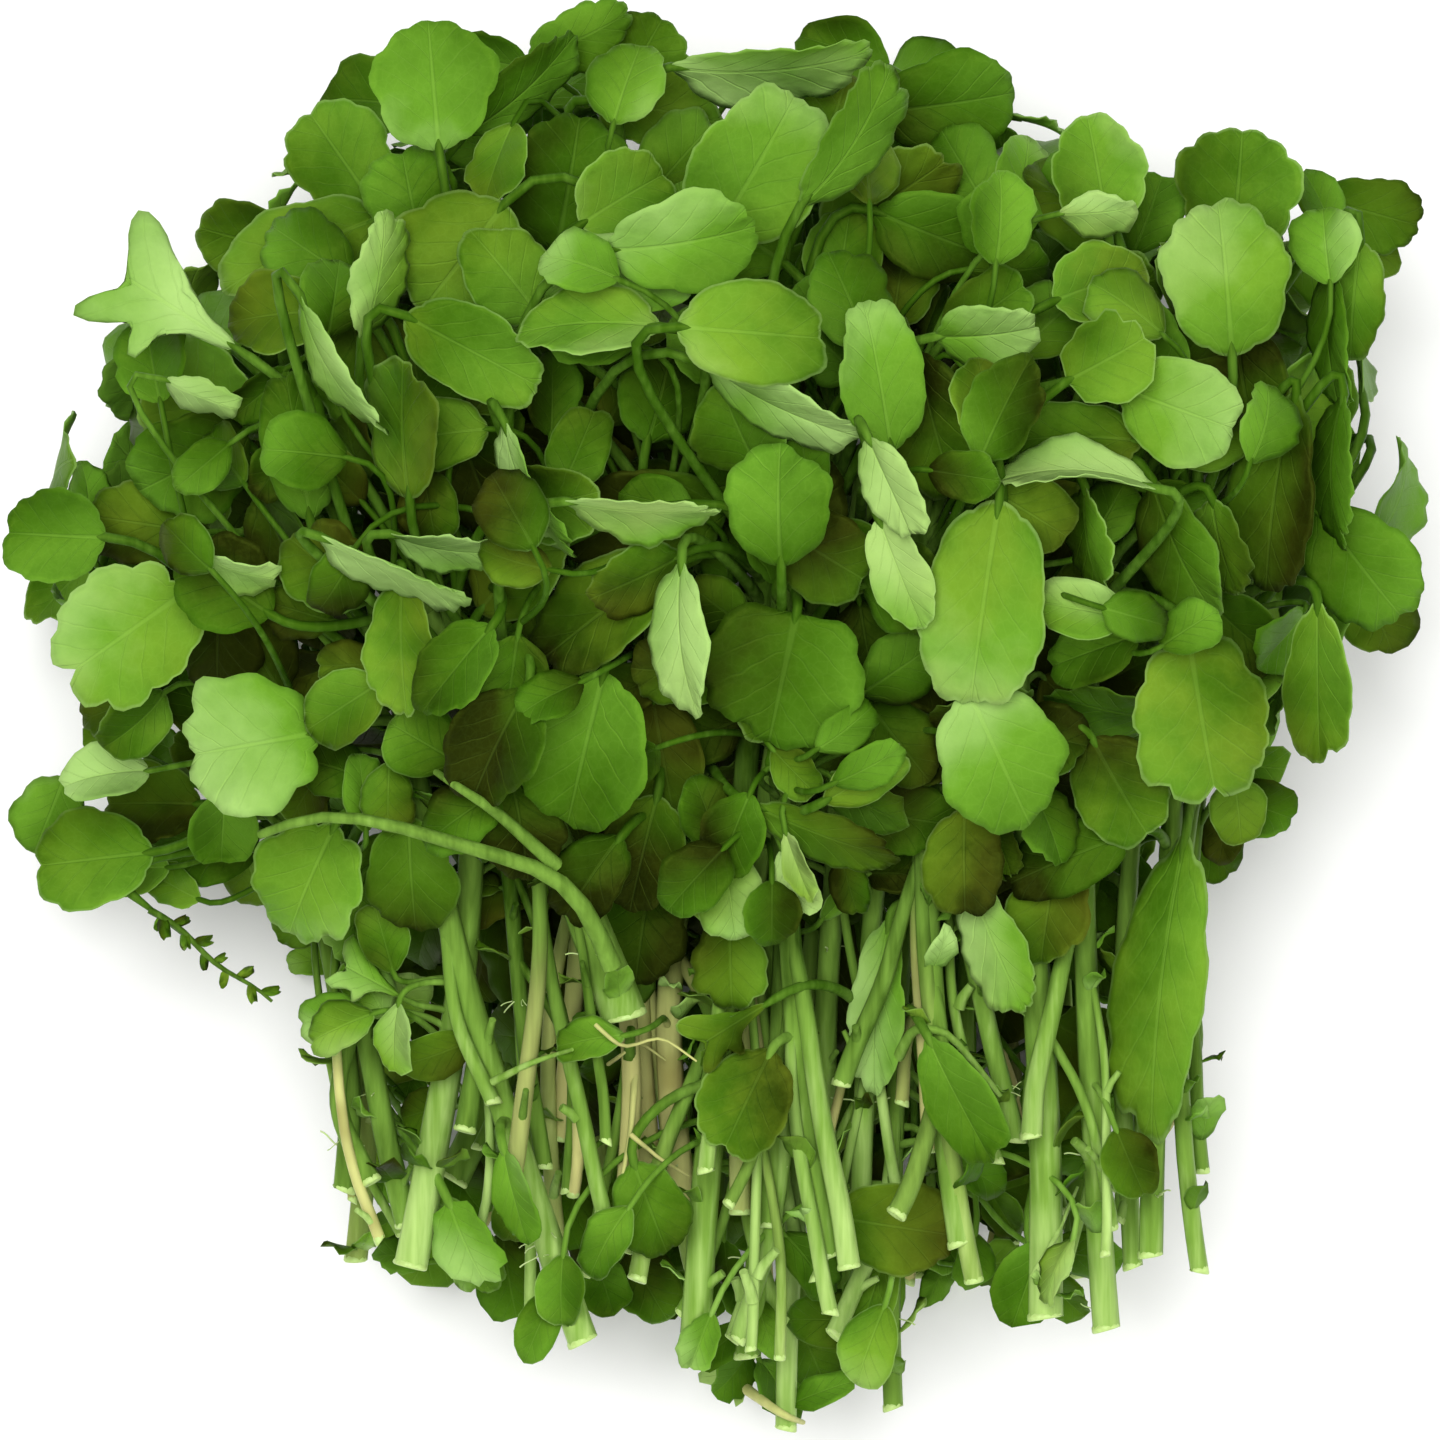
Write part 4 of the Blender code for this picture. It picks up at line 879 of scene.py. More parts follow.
# Smaller leaves: their shells, the gap that they keep, their stalks, and how far they may top the frame
EXTRA_SHELLS = ((110, 0.97, (9.0, 14.0)), (70, 0.82, (8.0, 12.0)))
SQUEEZE_GAP = 0.12
SQUEEZE_ROUTES = (8, 40)
TOP_MARGIN = 1.5
# Where a plumb line starts, and how far over a stem a thing has to be to cover it
ABOVE_ALL = 200.0
OVER_STEM = 0.3

# The stage, in metres: the surface, and each light's place, size and share of the main light's power
FLOOR = -0.0002
FLOOR_HALF = 4.0
LIGHTS = [
    ("main_light", (-0.24, 0.36, 1.75), 1.25, 1.0),
    ("side_light", (1.1, -0.2, 1.2), 1.2, 0.25),
    ("front_light", (-0.2, -1.3, 1.1), 1.2, 0.22),
]
LIGHTS_AIM = (0, 0, 0.04)
SKY = (1.0, 1.0, 0.98, 1.0)
SENSOR = 36.0

# The bunch's edge from above, as x and y
EDGE = [
    (-13, 92), (-8, 84), (0, 82), (16, 88), (36, 84), (38, 75), (50, 76), (55, 66), (66, 75), (74, 64),
    (83, 72), (92, 68), (84, 55), (81, 30), (88, 14), (80, 10), (79, -4), (73, 6), (70, -6), (73, -12),
    (63, -17), (61, -44), (54, -62), (50, -76), (33, -74), (22, -74), (18, -86), (8, -90), (-2, -84),
    (-8, -76), (-24, -78), (-36, -70), (-49, -68), (-51, -36), (-55, -30), (-60, -22), (-70, -22), (-88, -22),
    (-90, -12), (-82, -4), (-84, 16), (-91, 20), (-90, 32), (-76, 30), (-74, 42), (-68, 48), (-66, 60),
    (-54, 72), (-46, 84), (-37, 90), (-26, 86),
]
# Stems with a look of their own, by number: how pale and how yellowed
STEM_LOOKS = {
    22: (0.95, 0.3), 23: (0.8, 1.0), 24: (0.9, 1.0), 25: (0.7, 0.95), 27: (1.0, 0.6), 36: (0.85, 0.85),
    44: (0.75, 0.5), 45: (1.0, 0.7),
}
# The looks that the other stems and the side shoots are drawn from
STEM_PALENESS = (0.25, 0.9)
STEM_YELLOWING = (0.0, 0.8)
SHOOT_PALENESS = (0.2, 1.0)
SHOOT_YELLOWING = (0.2, 0.95)
# More leaves that the top view shows, mostly over the stems: kind, centre x, y, length, width, the way that
# the tip points in degrees from +X, pitch, roll, and tone
MORE_LEAVES = [
    ("round", -29.0, -3.0, 16, 13, 250, -8, 10, 0.22),
    ("round", -26.0, -14.0, 13, 11, 285, -6, -10, 0.16),
    ("round", -34.0, 7.0, 14, 10, 230, -5, 20, 0.30),
    ("round", -33.5, -12.0, 12, 9, 215, -5, 10, 0.25),
    ("small", -22.2, 3.2, 9, 7, 205, 0, 20, 0.45),
    ("small", 9.1, -6.5, 8, 6, 310, 0, 10, 0.45),
    ("small", 15.6, -1.0, 9, 6, 40, 5, 15, 0.40),
    ("small", 18.7, -5.7, 10, 6, 30, 0, 20, 0.55),
    ("long", 13.1, -14.7, 19, 7, 338, 0, 25, 0.42),
    ("small", 1.2, -14.5, 11, 9, 250, -5, 5, 0.30),
    ("round", -10.3, -16.6, 15, 12, 265, -5, 5, 0.10),
    ("round", -17.0, -20.0, 13, 10, 240, -5, 15, 0.14),
    ("small", 0.8, -22.1, 12, 9, 280, 0, 5, 0.62),
    ("small", 6.2, -24.5, 8, 8, 270, 0, 0, 0.36),
    ("long", 9.5, -18.5, 9, 4, 290, 0, 30, 0.80),
    ("small", 15.6, -22.1, 9, 5, 60, 5, 40, 0.75),
    ("round", -3.5, -20.0, 11, 9, 215, -5, 10, 0.18),
    ("fan", 0.9, -31.0, 12, 10, 275, 0, 10, 0.46),
    ("cut", 0.1, -39.8, 13, 10, 205, 0, 5, 0.20),
    ("round", 3.0, -49.0, 15, 12, 245, 0, 5, 0.22),
    ("round", -10.5, -27.0, 14, 12, 255, -4, 10, 0.10),
    ("long", 35.1, -29.0, 19, 9, 282, 0, 30, 0.72),
    ("long", 30.4, -49.0, 18, 9, 275, 0, 20, 0.42),
    ("round", 42.0, -24.0, 15, 11, 260, -5, 10, 0.30),
    ("round", 31.0, -18.0, 14, 11, 250, -5, 15, 0.24),
    ("small", -17.4, -41.0, 9, 6, 200, 0, 20, 0.66),
    ("cut", -46.5, -33.0, 11, 10, 150, 5, 20, 0.82),
    ("small", -49.5, -39.5, 9, 7, 200, 0, 25, 0.62),
    ("small", -42.5, -41.0, 9, 6, 290, 0, 30, 0.70),
    ("small", -44.0, -28.0, 9, 7, 100, 0, 10, 0.40),
    ("round", -9.5, -63.0, 13, 10, 285, 0, 10, 0.26),
    ("small", -15.0, -67.0, 10, 7, 245, 0, 20, 0.40),
    ("long", -27.0, -61.0, 12, 6, 280, 0, 30, 0.66),
    ("round", 22.0, -65.5, 17, 12, 345, 0, 5, 0.08),
    ("fan", -33.5, -67.5, 12, 9, 300, 0, 25, 0.70),
    ("cut", 2.0, -85.5, 11, 9, 235, 0, 20, 0.78),
    ("small", -3.0, -80.5, 8, 6, 250, 0, 30, 0.60),
    ("small", 52.6, -57.0, 9, 8, 270, 0, 10, 0.14),
    ("small", 43.0, -71.0, 9, 5, 250, 0, 40, 0.64),
    ("cut", 36.5, -70.5, 9, 8, 275, 0, 30, 0.55),
    ("small", -21.0, -73.5, 9, 7, 270, 0, 10, 0.45),
]
# Loose bits over the stems: the stem that each belongs to, radius, how yellowed, and x and y from end to end
LOOSE_BITS = [
    (21, 0.55, 0.3, ((-29.8, -46.5), (-25.0, -44.0), (-19.5, -42.2))),
    (30, 0.80, 0.2, ((22.6, -43.5), (24.5, -39.6), (29.0, -40.0), (35.9, -48.5))),
    (27, 0.75, 0.9, ((3.1, -87.5), (7.0, -90.0), (10.4, -91.8))),
    (24, 0.30, 1.0, ((-16.5, -39.0), (-13.0, -42.2), (-8.0, -40.5), (-3.5, -43.8))),
    (23, 0.28, 1.0, ((-15.0, -44.5), (-11.0, -41.5), (-7.5, -44.0))),
    (25, 0.35, 1.0, ((-12.0, -53.5), (-8.5, -56.5), (-4.5, -59.0))),
    (24, 0.50, 0.9, ((-11.5, -46.0), (-12.0, -53.0), (-13.5, -61.0))),
    (38, 0.45, 0.3, ((40.0, -72.0), (43.5, -66.0), (46.0, -60.5))),
    (27, 1.30, 0.3, (
        (-14.4, -31.5), (-17.4, -24.0), (-22.5, -18.8), (-31.1, -16.8), (-43.6, -12.7), (-52.5, -11.8),
        (-59.7, -14.6),
    )),
    (27, 1.00, 0.2, ((-21.5, -18.5), (-29.3, -11.4), (-36.9, -6.5))),
]
# How a loose bit lies: how far it may sag, how far it stands off, and how its ends are let in and taper
BIT_POINTS = 12
BIT_SAG = 6.0
BIT_OFF = 0.6
BIT_ENDS = 2.2
BIT_NEXT = 0.8
BIT_TAPER = 0.55
EASINGS = 4
# The buds of the flower stalk
RACEME_BUDS = 13
BUD_LENGTHS = (2.2, 3.6)
BUD_SPOKES = 16
BUD_RINGS = 3
# Short ends of stalks that were torn off
STUB_COUNTS = (0, 1, 1, 2)
STUB_SHARES = (0.04, 0.55)
STUB_LENGTHS = (2.0, 5.0)
STUB_GIRTHS = (0.4, 0.8)

# Side roots: how many joints of a stem have them, where these lie, how many roots each has, how far these are
# spread along the stem, the part of a stem that may have any, and their length and lean
ROOT_JOINTS = (0, 1, 2)
ROOT_SHARES = (0.02, 0.3)
ROOTS_AT_JOINT = (2, 4)
ROOT_SPREAD = 0.006
ROOT_ENDS = (0.01, 0.4)
ROOT_SPANS = (0.8, 3.0)
ROOT_LEAN = 0.6
ROOT_LOWEST = 0.5

# Side shoots: where they join a stem, and where their cut ends lie
SIDE_SHOOTS = 110
SHOOT_TRIES = 12
SHOOT_JOINS = (0.34, 0.62)
SHOOT_FEET = (-84, -46)
SHOOT_ACROSS = (-11, 11)
SHOOT_DROPS = (-12, 5)
SHOOT_SHORTEST = 18
SHOOT_LOWEST = 2.0
SHOOT_BENDS = ((-4, 4), (-2, 2))
SHOOT_GIRTHS = (0.6, 1.5)
SHOOT_TAPER = 0.7
# Scraps of leaf against the stems
SCRAPS = 260
SCRAP_SHARES = (0.02, 0.5)
SCRAP_LENGTHS = (3.5, 8.0)
SCRAP_WIDTHS = (0.45, 0.9)
SCRAP_TURNS = (-0.4, math.pi + 0.4)
SCRAP_LEANS = (0.1, 1.4)
SCRAP_TONES = (0.2, 0.8)
SCRAP_KINDS = ("small", "small", "plain", "long", "cut")
# How a leaf of the second table is moved until it is clear
MORE_TRIES = 24
MORE_TURN = 2.0
MORE_RISE = 0.5
MORE_OVER = 0.8
MORE_LOWEST = 8.0
# Leaves over the stalks that show in the head, down to a depth below the crown
COVER_SPACING = 4.5
COVER_FRONT = -18.0
COVER_DEPTH = 30.0
COVER_TRIES = 9
COVER_OVER = 1.0
COVER_RISE = 0.6
COVER_TURNS = ((-75, 75), (-22, 8), (-28, 28))
COVER_LENGTHS = (8.5, 13.5)
COVER_WIDTHS = (0.7, 0.98)
COVER_KINDS = ("plain", "round", "small")
# Leaves over gaps
FILL_HALF = 100.0
FILL_SHAKE = 1.5
FILL_TRIES = 14
FILL_SINK = 4
FILL_LOWEST = 5.0
FILL_RISE = 1.5
FILL_SHRINK = 0.02
FILL_TURNS = ((-80, 80), (-30, 18), (-38, 38))
FILL_WIDTHS = (0.66, 0.98)
FILL_KINDS = ("plain", "round", "small", "small")
# How far a leaf is shaken, and how far in front of the head's middle the place is that leaves point away from
PLACE_SHAKE = 2.0
AIM_FRONT = 20
# Last gaps, closed by leaves set straight on a stem
GRID_HALF = 95.0
GAP_SITES = 48
GAP_SHARES = (0.03, 0.95)
GAP_SPACING = 1.9
GAP_REACH = 9.0
GAP_LOWEST = 3.0
GAP_TIP_LOWEST = 2.5
GAP_LEAN = 0.5
GAP_TRIES = 16
GAP_RISES = (-3.0, 5.0)
GAP_LENGTHS = (1.15, 1.6)
GAP_WIDTHS = (0.5, 0.85)
GAP_KINDS = ("small", "plain", "long")
SHOWS_TABLE = 3.0

# How light a leaf is, from 0 to 1: at the crown, less with each millimetre below it as painted shade, evener
# in the head where it lies open to the light
CROWN_TONE = 0.46
DARKER = 0.017
LIGHT_IN = 1.1
HEAD_TONE = 0.58
HEAD_EVENING = 0.3
HEAD_FROM = 30
HEAD_RUN = 20
RESTING_TONE = 0.45
LEAST_TONE = 0.05
LEAST_AT_FEET = 0.17
NEAR_FEET = -52.0
TONE_SHAKE = 0.15
OLDEST = 0.86
# How much darker the painted shade makes the dark places, for leaves below a tone, and how far inside the
# edge that is full
PAINTED_SHADE_DEPTH = 0.68
PAINTED_SHADE_BELOW = 0.6
PAINTED_SHADE_INSIDE = 12
# Where the bunch is darkest from above, painted as shade on the leaves there: centre x, y and reach
PAINTED_SHADE_SPOTS = [
    (-54, 20, 18), (-28, -3, 12), (-8, 12, 14), (2, -8, 12), (-18, -16, 12), (-32, 26, 14), (12, -22, 10),
    (29, 33, 17), (36, 16, 14), (40, -30, 13), (4, -32, 10), (-33, -42, 10), (22, -56, 10), (62, 50, 10),
]
# Large leaves that are darker or paler than others at their height: centre x, y and tone, and how near counts
OWN_TONES = [(35.1, -4.2, 0.56), (64.5, 56.6, 0.56), (33.2, 15.2, 0.50), (61.4, 0.7, 0.54), (81.3, 54.6, 0.5)]
OWN_NEAR = 1.5
# Passes that fill what shows through: spacing, how far below the crown a gap starts, where new leaves are set
# between that depth and the crown, their lengths, and the front and back of the band that the pass covers
FILLS = [
    (7.5, 13.0, (0.0, 2.2), (11.0, 16.0), -22.0, 95.0),
    (6.5, 20.0, (0.0, 2.2), (9.0, 14.0), -24.0, 95.0),
    (5.5, 28.0, (0.0, 2.0), (8.0, 12.0), -28.0, 95.0),
    (6.0, 12.0, (0.2, 2.2), (7.0, 12.0), -90.0, -16.0),
    (5.0, 22.0, (0.6, 1.8), (6.0, 10.0), -92.0, -20.0),
    (4.5, 34.0, (0.75, 1.1), (6.5, 11.0), -92.0, 95.0),
    (4.0, 34.0, (0.75, 1.1), (5.0, 8.0), -92.0, -10.0),
    (2.6, 46.0, (0.55, 1.0), (5.0, 8.0), -88.0, 20.0),
]


def write(data, name, kind, field, values):
    """Keeps a value for each point of a mesh."""
    data.attributes.new(name, kind, "POINT").data.foreach_set(field, np.ravel(values))


def placed(name, data):
    """An object of the scene that shows a mesh, a light or a camera."""
    made = bpy.data.objects.new(name, data)
    bpy.context.scene.collection.objects.link(made)
    return made


class Lump:
    """Vertices, edges and faces gathered for one mesh, with what the materials read at each vertex."""

    def __init__(self):
        self.points, self.faces, self.edges = [], [], []
        self.girth, self.tint, self.cut, self.uv = [], [], [], []
        self.count = 0

    def add(self, points, faces=(), edges=(), girth=0.0, tint=(0.5, 0.5, 0.5, 1.0), cut=0.0, uv=None):
        size = len(points)
        self.points.append(np.asarray(points))
        self.faces += [tuple(i + self.count for i in face) for face in faces]
        self.edges += [(a + self.count, b + self.count) for a, b in edges]
        self.girth.append(np.broadcast_to(girth, (size,)))
        self.tint.append(np.broadcast_to(tint, (size, 4)))
        self.cut.append(np.broadcast_to(cut, (size,)))
        self.uv.append(np.zeros((size, 2)) if uv is None else uv)
        self.count += size

    def to_object(self, name, shift):
        data = bpy.data.meshes.new(name)
        points = (np.vstack(self.points) + shift) * MM
        data.from_pydata(points.tolist(), self.edges, self.faces)
        write(data, "girth", "FLOAT", "value", np.concatenate(self.girth) * MM)
        write(data, "tint", "FLOAT_COLOR", "color", np.vstack(self.tint))
        write(data, "cut", "FLOAT", "value", np.concatenate(self.cut))
        corners = np.empty(len(data.loops), int)
        data.loops.foreach_get("vertex_index", corners)
        uv = data.uv_layers.new(name="blade")
        uv.data.foreach_set("uv", np.vstack(self.uv)[corners].ravel())
        return placed(name, data)


def fine_surface(leaf, angle, reach):
    """How far across, forward and up a point of the fine blade's middle lies, by its angle and reach."""
    kind = leaf.kind
    turn = np.minimum(angle, 2 * math.pi - angle)
    nearness = ((1 + np.cos(angle)) / 2) ** 2
    _, second, third = leaf.wobble
    lobes = 2 * np.abs(np.cos(kind["scallops"] * angle / 2)) ** LOBE_POWER - 1
    teeth = 2 * np.abs(np.sin(kind["scallops"] * angle + leaf.phase)) ** NOTCH_POWER - 1
    sway = sum(size * np.sin(times * angle + start) for (times, size), start in zip(BULGES, leaf.wobble))
    away = (1 - nearness) * reach**2
    uneven = LOBE_GAIN * (1 + LOBE_UNEVEN * np.sin(2 * angle + third) * away)
    scallop = 1 + uneven * kind["depth"] * lobes * reach**2 + (NOTCHES * teeth * reach**4 + sway) * away
    if kind is KINDS["cut"]:
        fingers = [
            tall * np.exp(-((np.abs(angle - place * math.pi) / wide) ** CUT_POWER))
            for place, wide, tall in CUT_LOBES
        ]
        scallop = 1 + (CUT_REACH * np.max(fingers, axis=0) - CUT_DEPTH + NOTCHES * teeth) * reach**2
    across = reach * (leaf.width / 2) * np.sin(angle) * scallop * (1 - kind["taper"] * nearness)
    forward = -reach * (leaf.length / 2) * np.cos(angle) * scallop
    forward = forward + kind["notch"] * leaf.length * np.exp(-((turn / 0.5) ** 2)) * reach
    share_across, share_forward = 2 * across / leaf.width, 2 * forward / leaf.length
    height = leaf.cup * share_across**2 * leaf.width / 2 - leaf.arch * share_forward**2 * leaf.length / 2
    height = height + leaf.ripple * np.sin(3 * angle + leaf.phase) * reach**3 * leaf.width / 2
    if not leaf.flat:
        frill = np.sin((2 * kind["scallops"] + 1) * angle + 5 * leaf.phase) * reach**4
        waves = np.sin(2 * angle + second) + np.sin(4 * angle + third)
        height = height + (FRILL * frill + WAVE * waves) * away + FOLD * np.abs(share_across) * leaf.width / 2
    return across, forward, height


def fine_blade(lump, leaf, spokes, rings):
    """The leaf's blade as a closed sheet with a crenate, slightly frilled edge."""
    angle = np.linspace(0, 2 * math.pi, spokes, endpoint=False)[:, None]
    reach = ((np.arange(rings) + 1) / rings)[None, :] ** RING_POWER
    across, forward, height = fine_surface(leaf, angle, reach)
    half = (RIM_THICKNESS + (BLADE_THICKNESS - RIM_THICKNESS) * (1 - reach**6)) / 2 + 0 * angle
    middle_height = 0.0
    if leaf.flat:
        half = BLADE_THICKNESS / 2 + 0 * half
        height, middle_height = height - BLADE_THICKNESS / 2, -BLADE_THICKNESS / 2
    middle = leaf.centre + across[..., None] * leaf.side + forward[..., None] * leaf.along
    over = middle + (height + half)[..., None] * leaf.up
    under = middle + (height - half)[..., None] * leaf.up
    centres = [leaf.centre + leaf.up * (middle_height + side * BLADE_THICKNESS / 2) for side in (1, -1)]
    points = np.vstack([over.reshape(-1, 3), under.reshape(-1, 3), centres])
    size = spokes * rings
    faces = []
    for j in range(spokes):
        a, b = j * rings, (j + 1) % spokes * rings
        faces += [(a, b, 2 * size), (size + b, size + a, 2 * size + 1)]
        for i in range(rings - 1):
            faces.append((a + i, a + i + 1, b + i + 1, b + i))
            faces.append((size + a + i, size + b + i, size + b + i + 1, size + a + i + 1))
        last = rings - 1
        faces.append((a + last, size + a + last, size + b + last, b + last))
    if not leaf.flat:
        points[:, 2] += max(0.0, TABLE_CLEAR - points[:, 2].min())
    flat = np.stack([reach * np.sin(angle), -reach * np.cos(angle)], -1).reshape(-1, 2) / 2 + 0.5
    uv = np.vstack([flat, flat, [[0.5, 0.5], [0.5, 0.5]]])
    tint = np.tile([leaf.tone, leaf.warmth, 0.0, leaf.phase / FULL_TURN], (2 * size + 2, 1))
    tint[size:2 * size, 2] = 1.0
    tint[2 * size + 1, 2] = 1.0
    lump.add(points, faces, uv=uv, tint=tint)


def add_path(lump, points, girth, tint):
    """A line that becomes a tube, kept off the table."""
    points = np.array(points)
    points[:, 2] = np.maximum(points[:, 2], girth * TUBE_CLEAR + TABLE_CLEAR)
    lump.add(points, edges=[(i, i + 1) for i in range(len(points) - 1)], girth=girth, tint=tint)


def fine_stalk(lump, leaf, look):
    """The path of a leaf's stalk and of the midrib that it becomes under the blade."""
    shares = np.linspace(0, 1, STALK_RINGS)
    path = [leaf.stalk_at(share)[0] for share in shares]
    swell = [0.95 + STALK_FOOT * math.exp(-STALK_FADE * share) - STALK_TAPER * share for share in shares]
    girth = [leaf.stalk_radius * size for size in swell]
    rib_girth = MIDRIB_GIRTH * leaf.stalk_radius
    below = BLADE_THICKNESS if leaf.flat else BLADE_THICKNESS / 2
    for reach in MIDRIB_REACH:
        rib = rib_girth * (0.35 + 0.65 * reach)
        _, forward, height = fine_surface(leaf, 0.0, reach)
        path.append(leaf.centre + leaf.along * forward + leaf.up * (height - below - 0.5 * rib))
        girth.append(rib)
    own = np.array([0.2 + 0.45 * leaf.tone, 0.5 * leaf.warmth, 0.5, 1.0])
    away = np.linalg.norm(np.array(path) - path[0], axis=1)[:, None]
    joined = np.clip((OWN_LOOK_FROM - away) / (OWN_LOOK_FROM - STEM_LOOK_TO), 0, 1)
    add_path(lump, path, np.array(girth), joined * np.array([*look, 0.0, 1.0]) + (1 - joined) * own)


def fine_stem(lump, stem, thicket, tone, warmth, random, rings=STEM_RINGS, onto=None):
    """The path of a stem, a little crooked and swollen where its leaves spring. A shoot takes the look of the
    stem that it joins."""
    shares = np.linspace(0, 1, rings)
    joints = [stem.share_near(leaf.root) for leaf in stem.leaves if leaf.length > JOINT_LEAF]
    phase = random.uniform(0, ONE_TURN)
    path, girth = [], []
    for share in shares:
        point, along, radius = stem.on_tube(share)
        smooth = stem.at(share)[0]
        sway = STEM_SWAY * math.sin(SWAY_TURNS * share + phase) * min(1.0, 6 * share)
        swell = sum(math.exp(-(((share - joint) / JOINT_WIDTH) ** 2)) for joint in joints)
        path.append((point + smooth) / 2 + square_to(along)[0] * sway)
        girth.append(radius * (1 + JOINT_SWELL * min(1.0, swell)))
    joined = np.clip((shares - SHOOT_LOOK_FROM) / SHOOT_LOOK_RUN, 0, 1)[:, None] * (onto is not None)
    own, other = (np.array([*look, 0.0, 1.0]) for look in ((tone, warmth), onto or (tone, warmth)))
    add_path(lump, path, np.array(girth), own + joined * (other - own))
    cut_face(lump, stem, tone, random)
    stubs(lump, stem, thicket, tone, random)


def covered(thicket, point, radius, *tips):
    """Whether anything lies over one of some tips, higher than the stem at a point."""
    return max(top_at(thicket, *tip[:2])[0] for tip in tips) > point[2] + radius + OVER_STEM


def stubs(lump, stem, thicket, tone, random):
    """Short ends of stalks that were torn off, where nothing lies over them."""
    for _ in range(random.choice(STUB_COUNTS)):
        point, along, radius = stem.on_tube(random.uniform(*STUB_SHARES))
        out = around(along, random.uniform(0, math.pi))
        length = random.uniform(*STUB_LENGTHS)
        tip = point + out * (radius + 0.55 * length) + along * 0.8 * length
        bend = point + out * (0.8 * radius + 0.15 * length) + along * 0.35 * length
        girth = random.uniform(*STUB_GIRTHS) * np.array([1.2, 1.0, 0.8])
        if not covered(thicket, point, radius, bend, tip):
            add_path(lump, [point + out * 0.5 * radius, bend, tip], girth, (tone, 0.6, 0.0, 1.0))


def raceme(lump, leaf, random):
    """A flower stalk gone over, with buds and short pods to either side."""
    path = []
    for share in np.linspace(-0.5, 0.5, BIT_POINTS):
        bend = 0.35 * math.sin(9 * share + 1.0)
        path.append(leaf.centre + leaf.along * share * leaf.length + leaf.side * bend)
    add_path(lump, path, np.linspace(0.5, 0.22, BIT_POINTS), (0.35, 0.6, 0.0, 1.0))
    for k in range(RACEME_BUDS):
        root = path[1 + k % (BIT_POINTS - 2)]
        out = (-1 if k % 2 else 1) * leaf.side * random.uniform(0.5, 1.1)
        out = out + leaf.up * random.uniform(-0.3, 0.5)
        length = random.uniform(*BUD_LENGTHS)
        along = unit(out + leaf.along * random.uniform(0.2, 0.9))
        place = root + along * 0.42 * length
        bud = Leaf("small", place, along, leaf.up, length, 0.5 * length, drawn_curl(random))
        bud.tone, bud.warmth, bud.wobble = random.uniform(0.2, 0.5), 0.9, leaf.wobble
        fine_blade(lump, bud, BUD_SPOKES, BUD_RINGS)


def cut_face(lump, stem, tone, random):
    """The pale cut end, a short ring round a hollow."""
    foot, along, radius = stem.at(0.0)
    side, up = square_to(along)
    hollow = random.uniform(*HOLLOWS)
    slant = random.uniform(*SLANTS)
    steps = [*CUT_PROFILE, (hollow + 0.1, -0.3), (hollow, -0.1), (0.7 * hollow, 0.5)]
    points = []
    for width, depth in steps:
        for k in range(CUT_SIDES):
            turn = 2 * math.pi * k / CUT_SIDES
            lean = slant * math.cos(turn) if depth < 0 else 0.0
            spoke = side * math.cos(turn) + up * math.sin(turn)
            points.append(foot + radius * width * spoke + along * (depth + lean * width))
    last = (len(steps) - 1) * CUT_SIDES
    faces = [tuple(range(CUT_SIDES)), tuple(range(last, last + CUT_SIDES))[::-1]]
    faces += [(a, a + CUT_SIDES, b + CUT_SIDES, b) for a, b in ring_pairs(len(steps) - 1, CUT_SIDES)]
    lump.add(points, faces, cut=1.0, tint=(tone, 0.5, 0.0, 1.0))


def loose_bit(lump, thicket, girth, warmth, corners):
    """A thin stalk or root that lies over whatever is there."""
    corners = np.array(corners)
    places = np.linspace(0, len(corners) - 1, BIT_POINTS)
    flat = np.stack([np.interp(places, range(len(corners)), corners[:, k]) for k in (0, 1)], 1)
    flat[1:-1] = (flat[:-2] + 2 * flat[1:-1] + flat[2:]) / 4
    heights = np.array([top_at(thicket, x, y)[0] for x, y in flat])
    heights = np.maximum(heights, heights.max() - BIT_SAG)
    eased = heights
    for _ in range(EASINGS):
        eased = np.concatenate([eased[:1], (eased[:-2] + 2 * eased[1:-1] + eased[2:]) / 4, eased[-1:]])
    eased = eased + max(0.0, (heights - eased).max())
    path = np.column_stack([flat, eased + BIT_OFF * girth])
    path[[0, -1], 2] -= BIT_ENDS * girth
    path[[1, -2], 2] -= BIT_NEXT * girth
    taper = girth * (1 - BIT_TAPER * np.linspace(0, 1, BIT_POINTS))
    add_path(lump, path, taper, (0.9, warmth, 0.0, 1.0))


def new_node(tree, kind, settings, inputs):
    """A node with its settings, whose inputs are linked to sockets or hold plain values."""
    node = tree.nodes.new(kind)
    for name, value in (settings or {}).items():
        setattr(node, name, value)
    for name, value in (inputs or {}).items():
        if isinstance(value, bpy.types.NodeSocket):
            tree.links.new(value, node.inputs[name])
        else:
            node.inputs[name].default_value = value
    return node


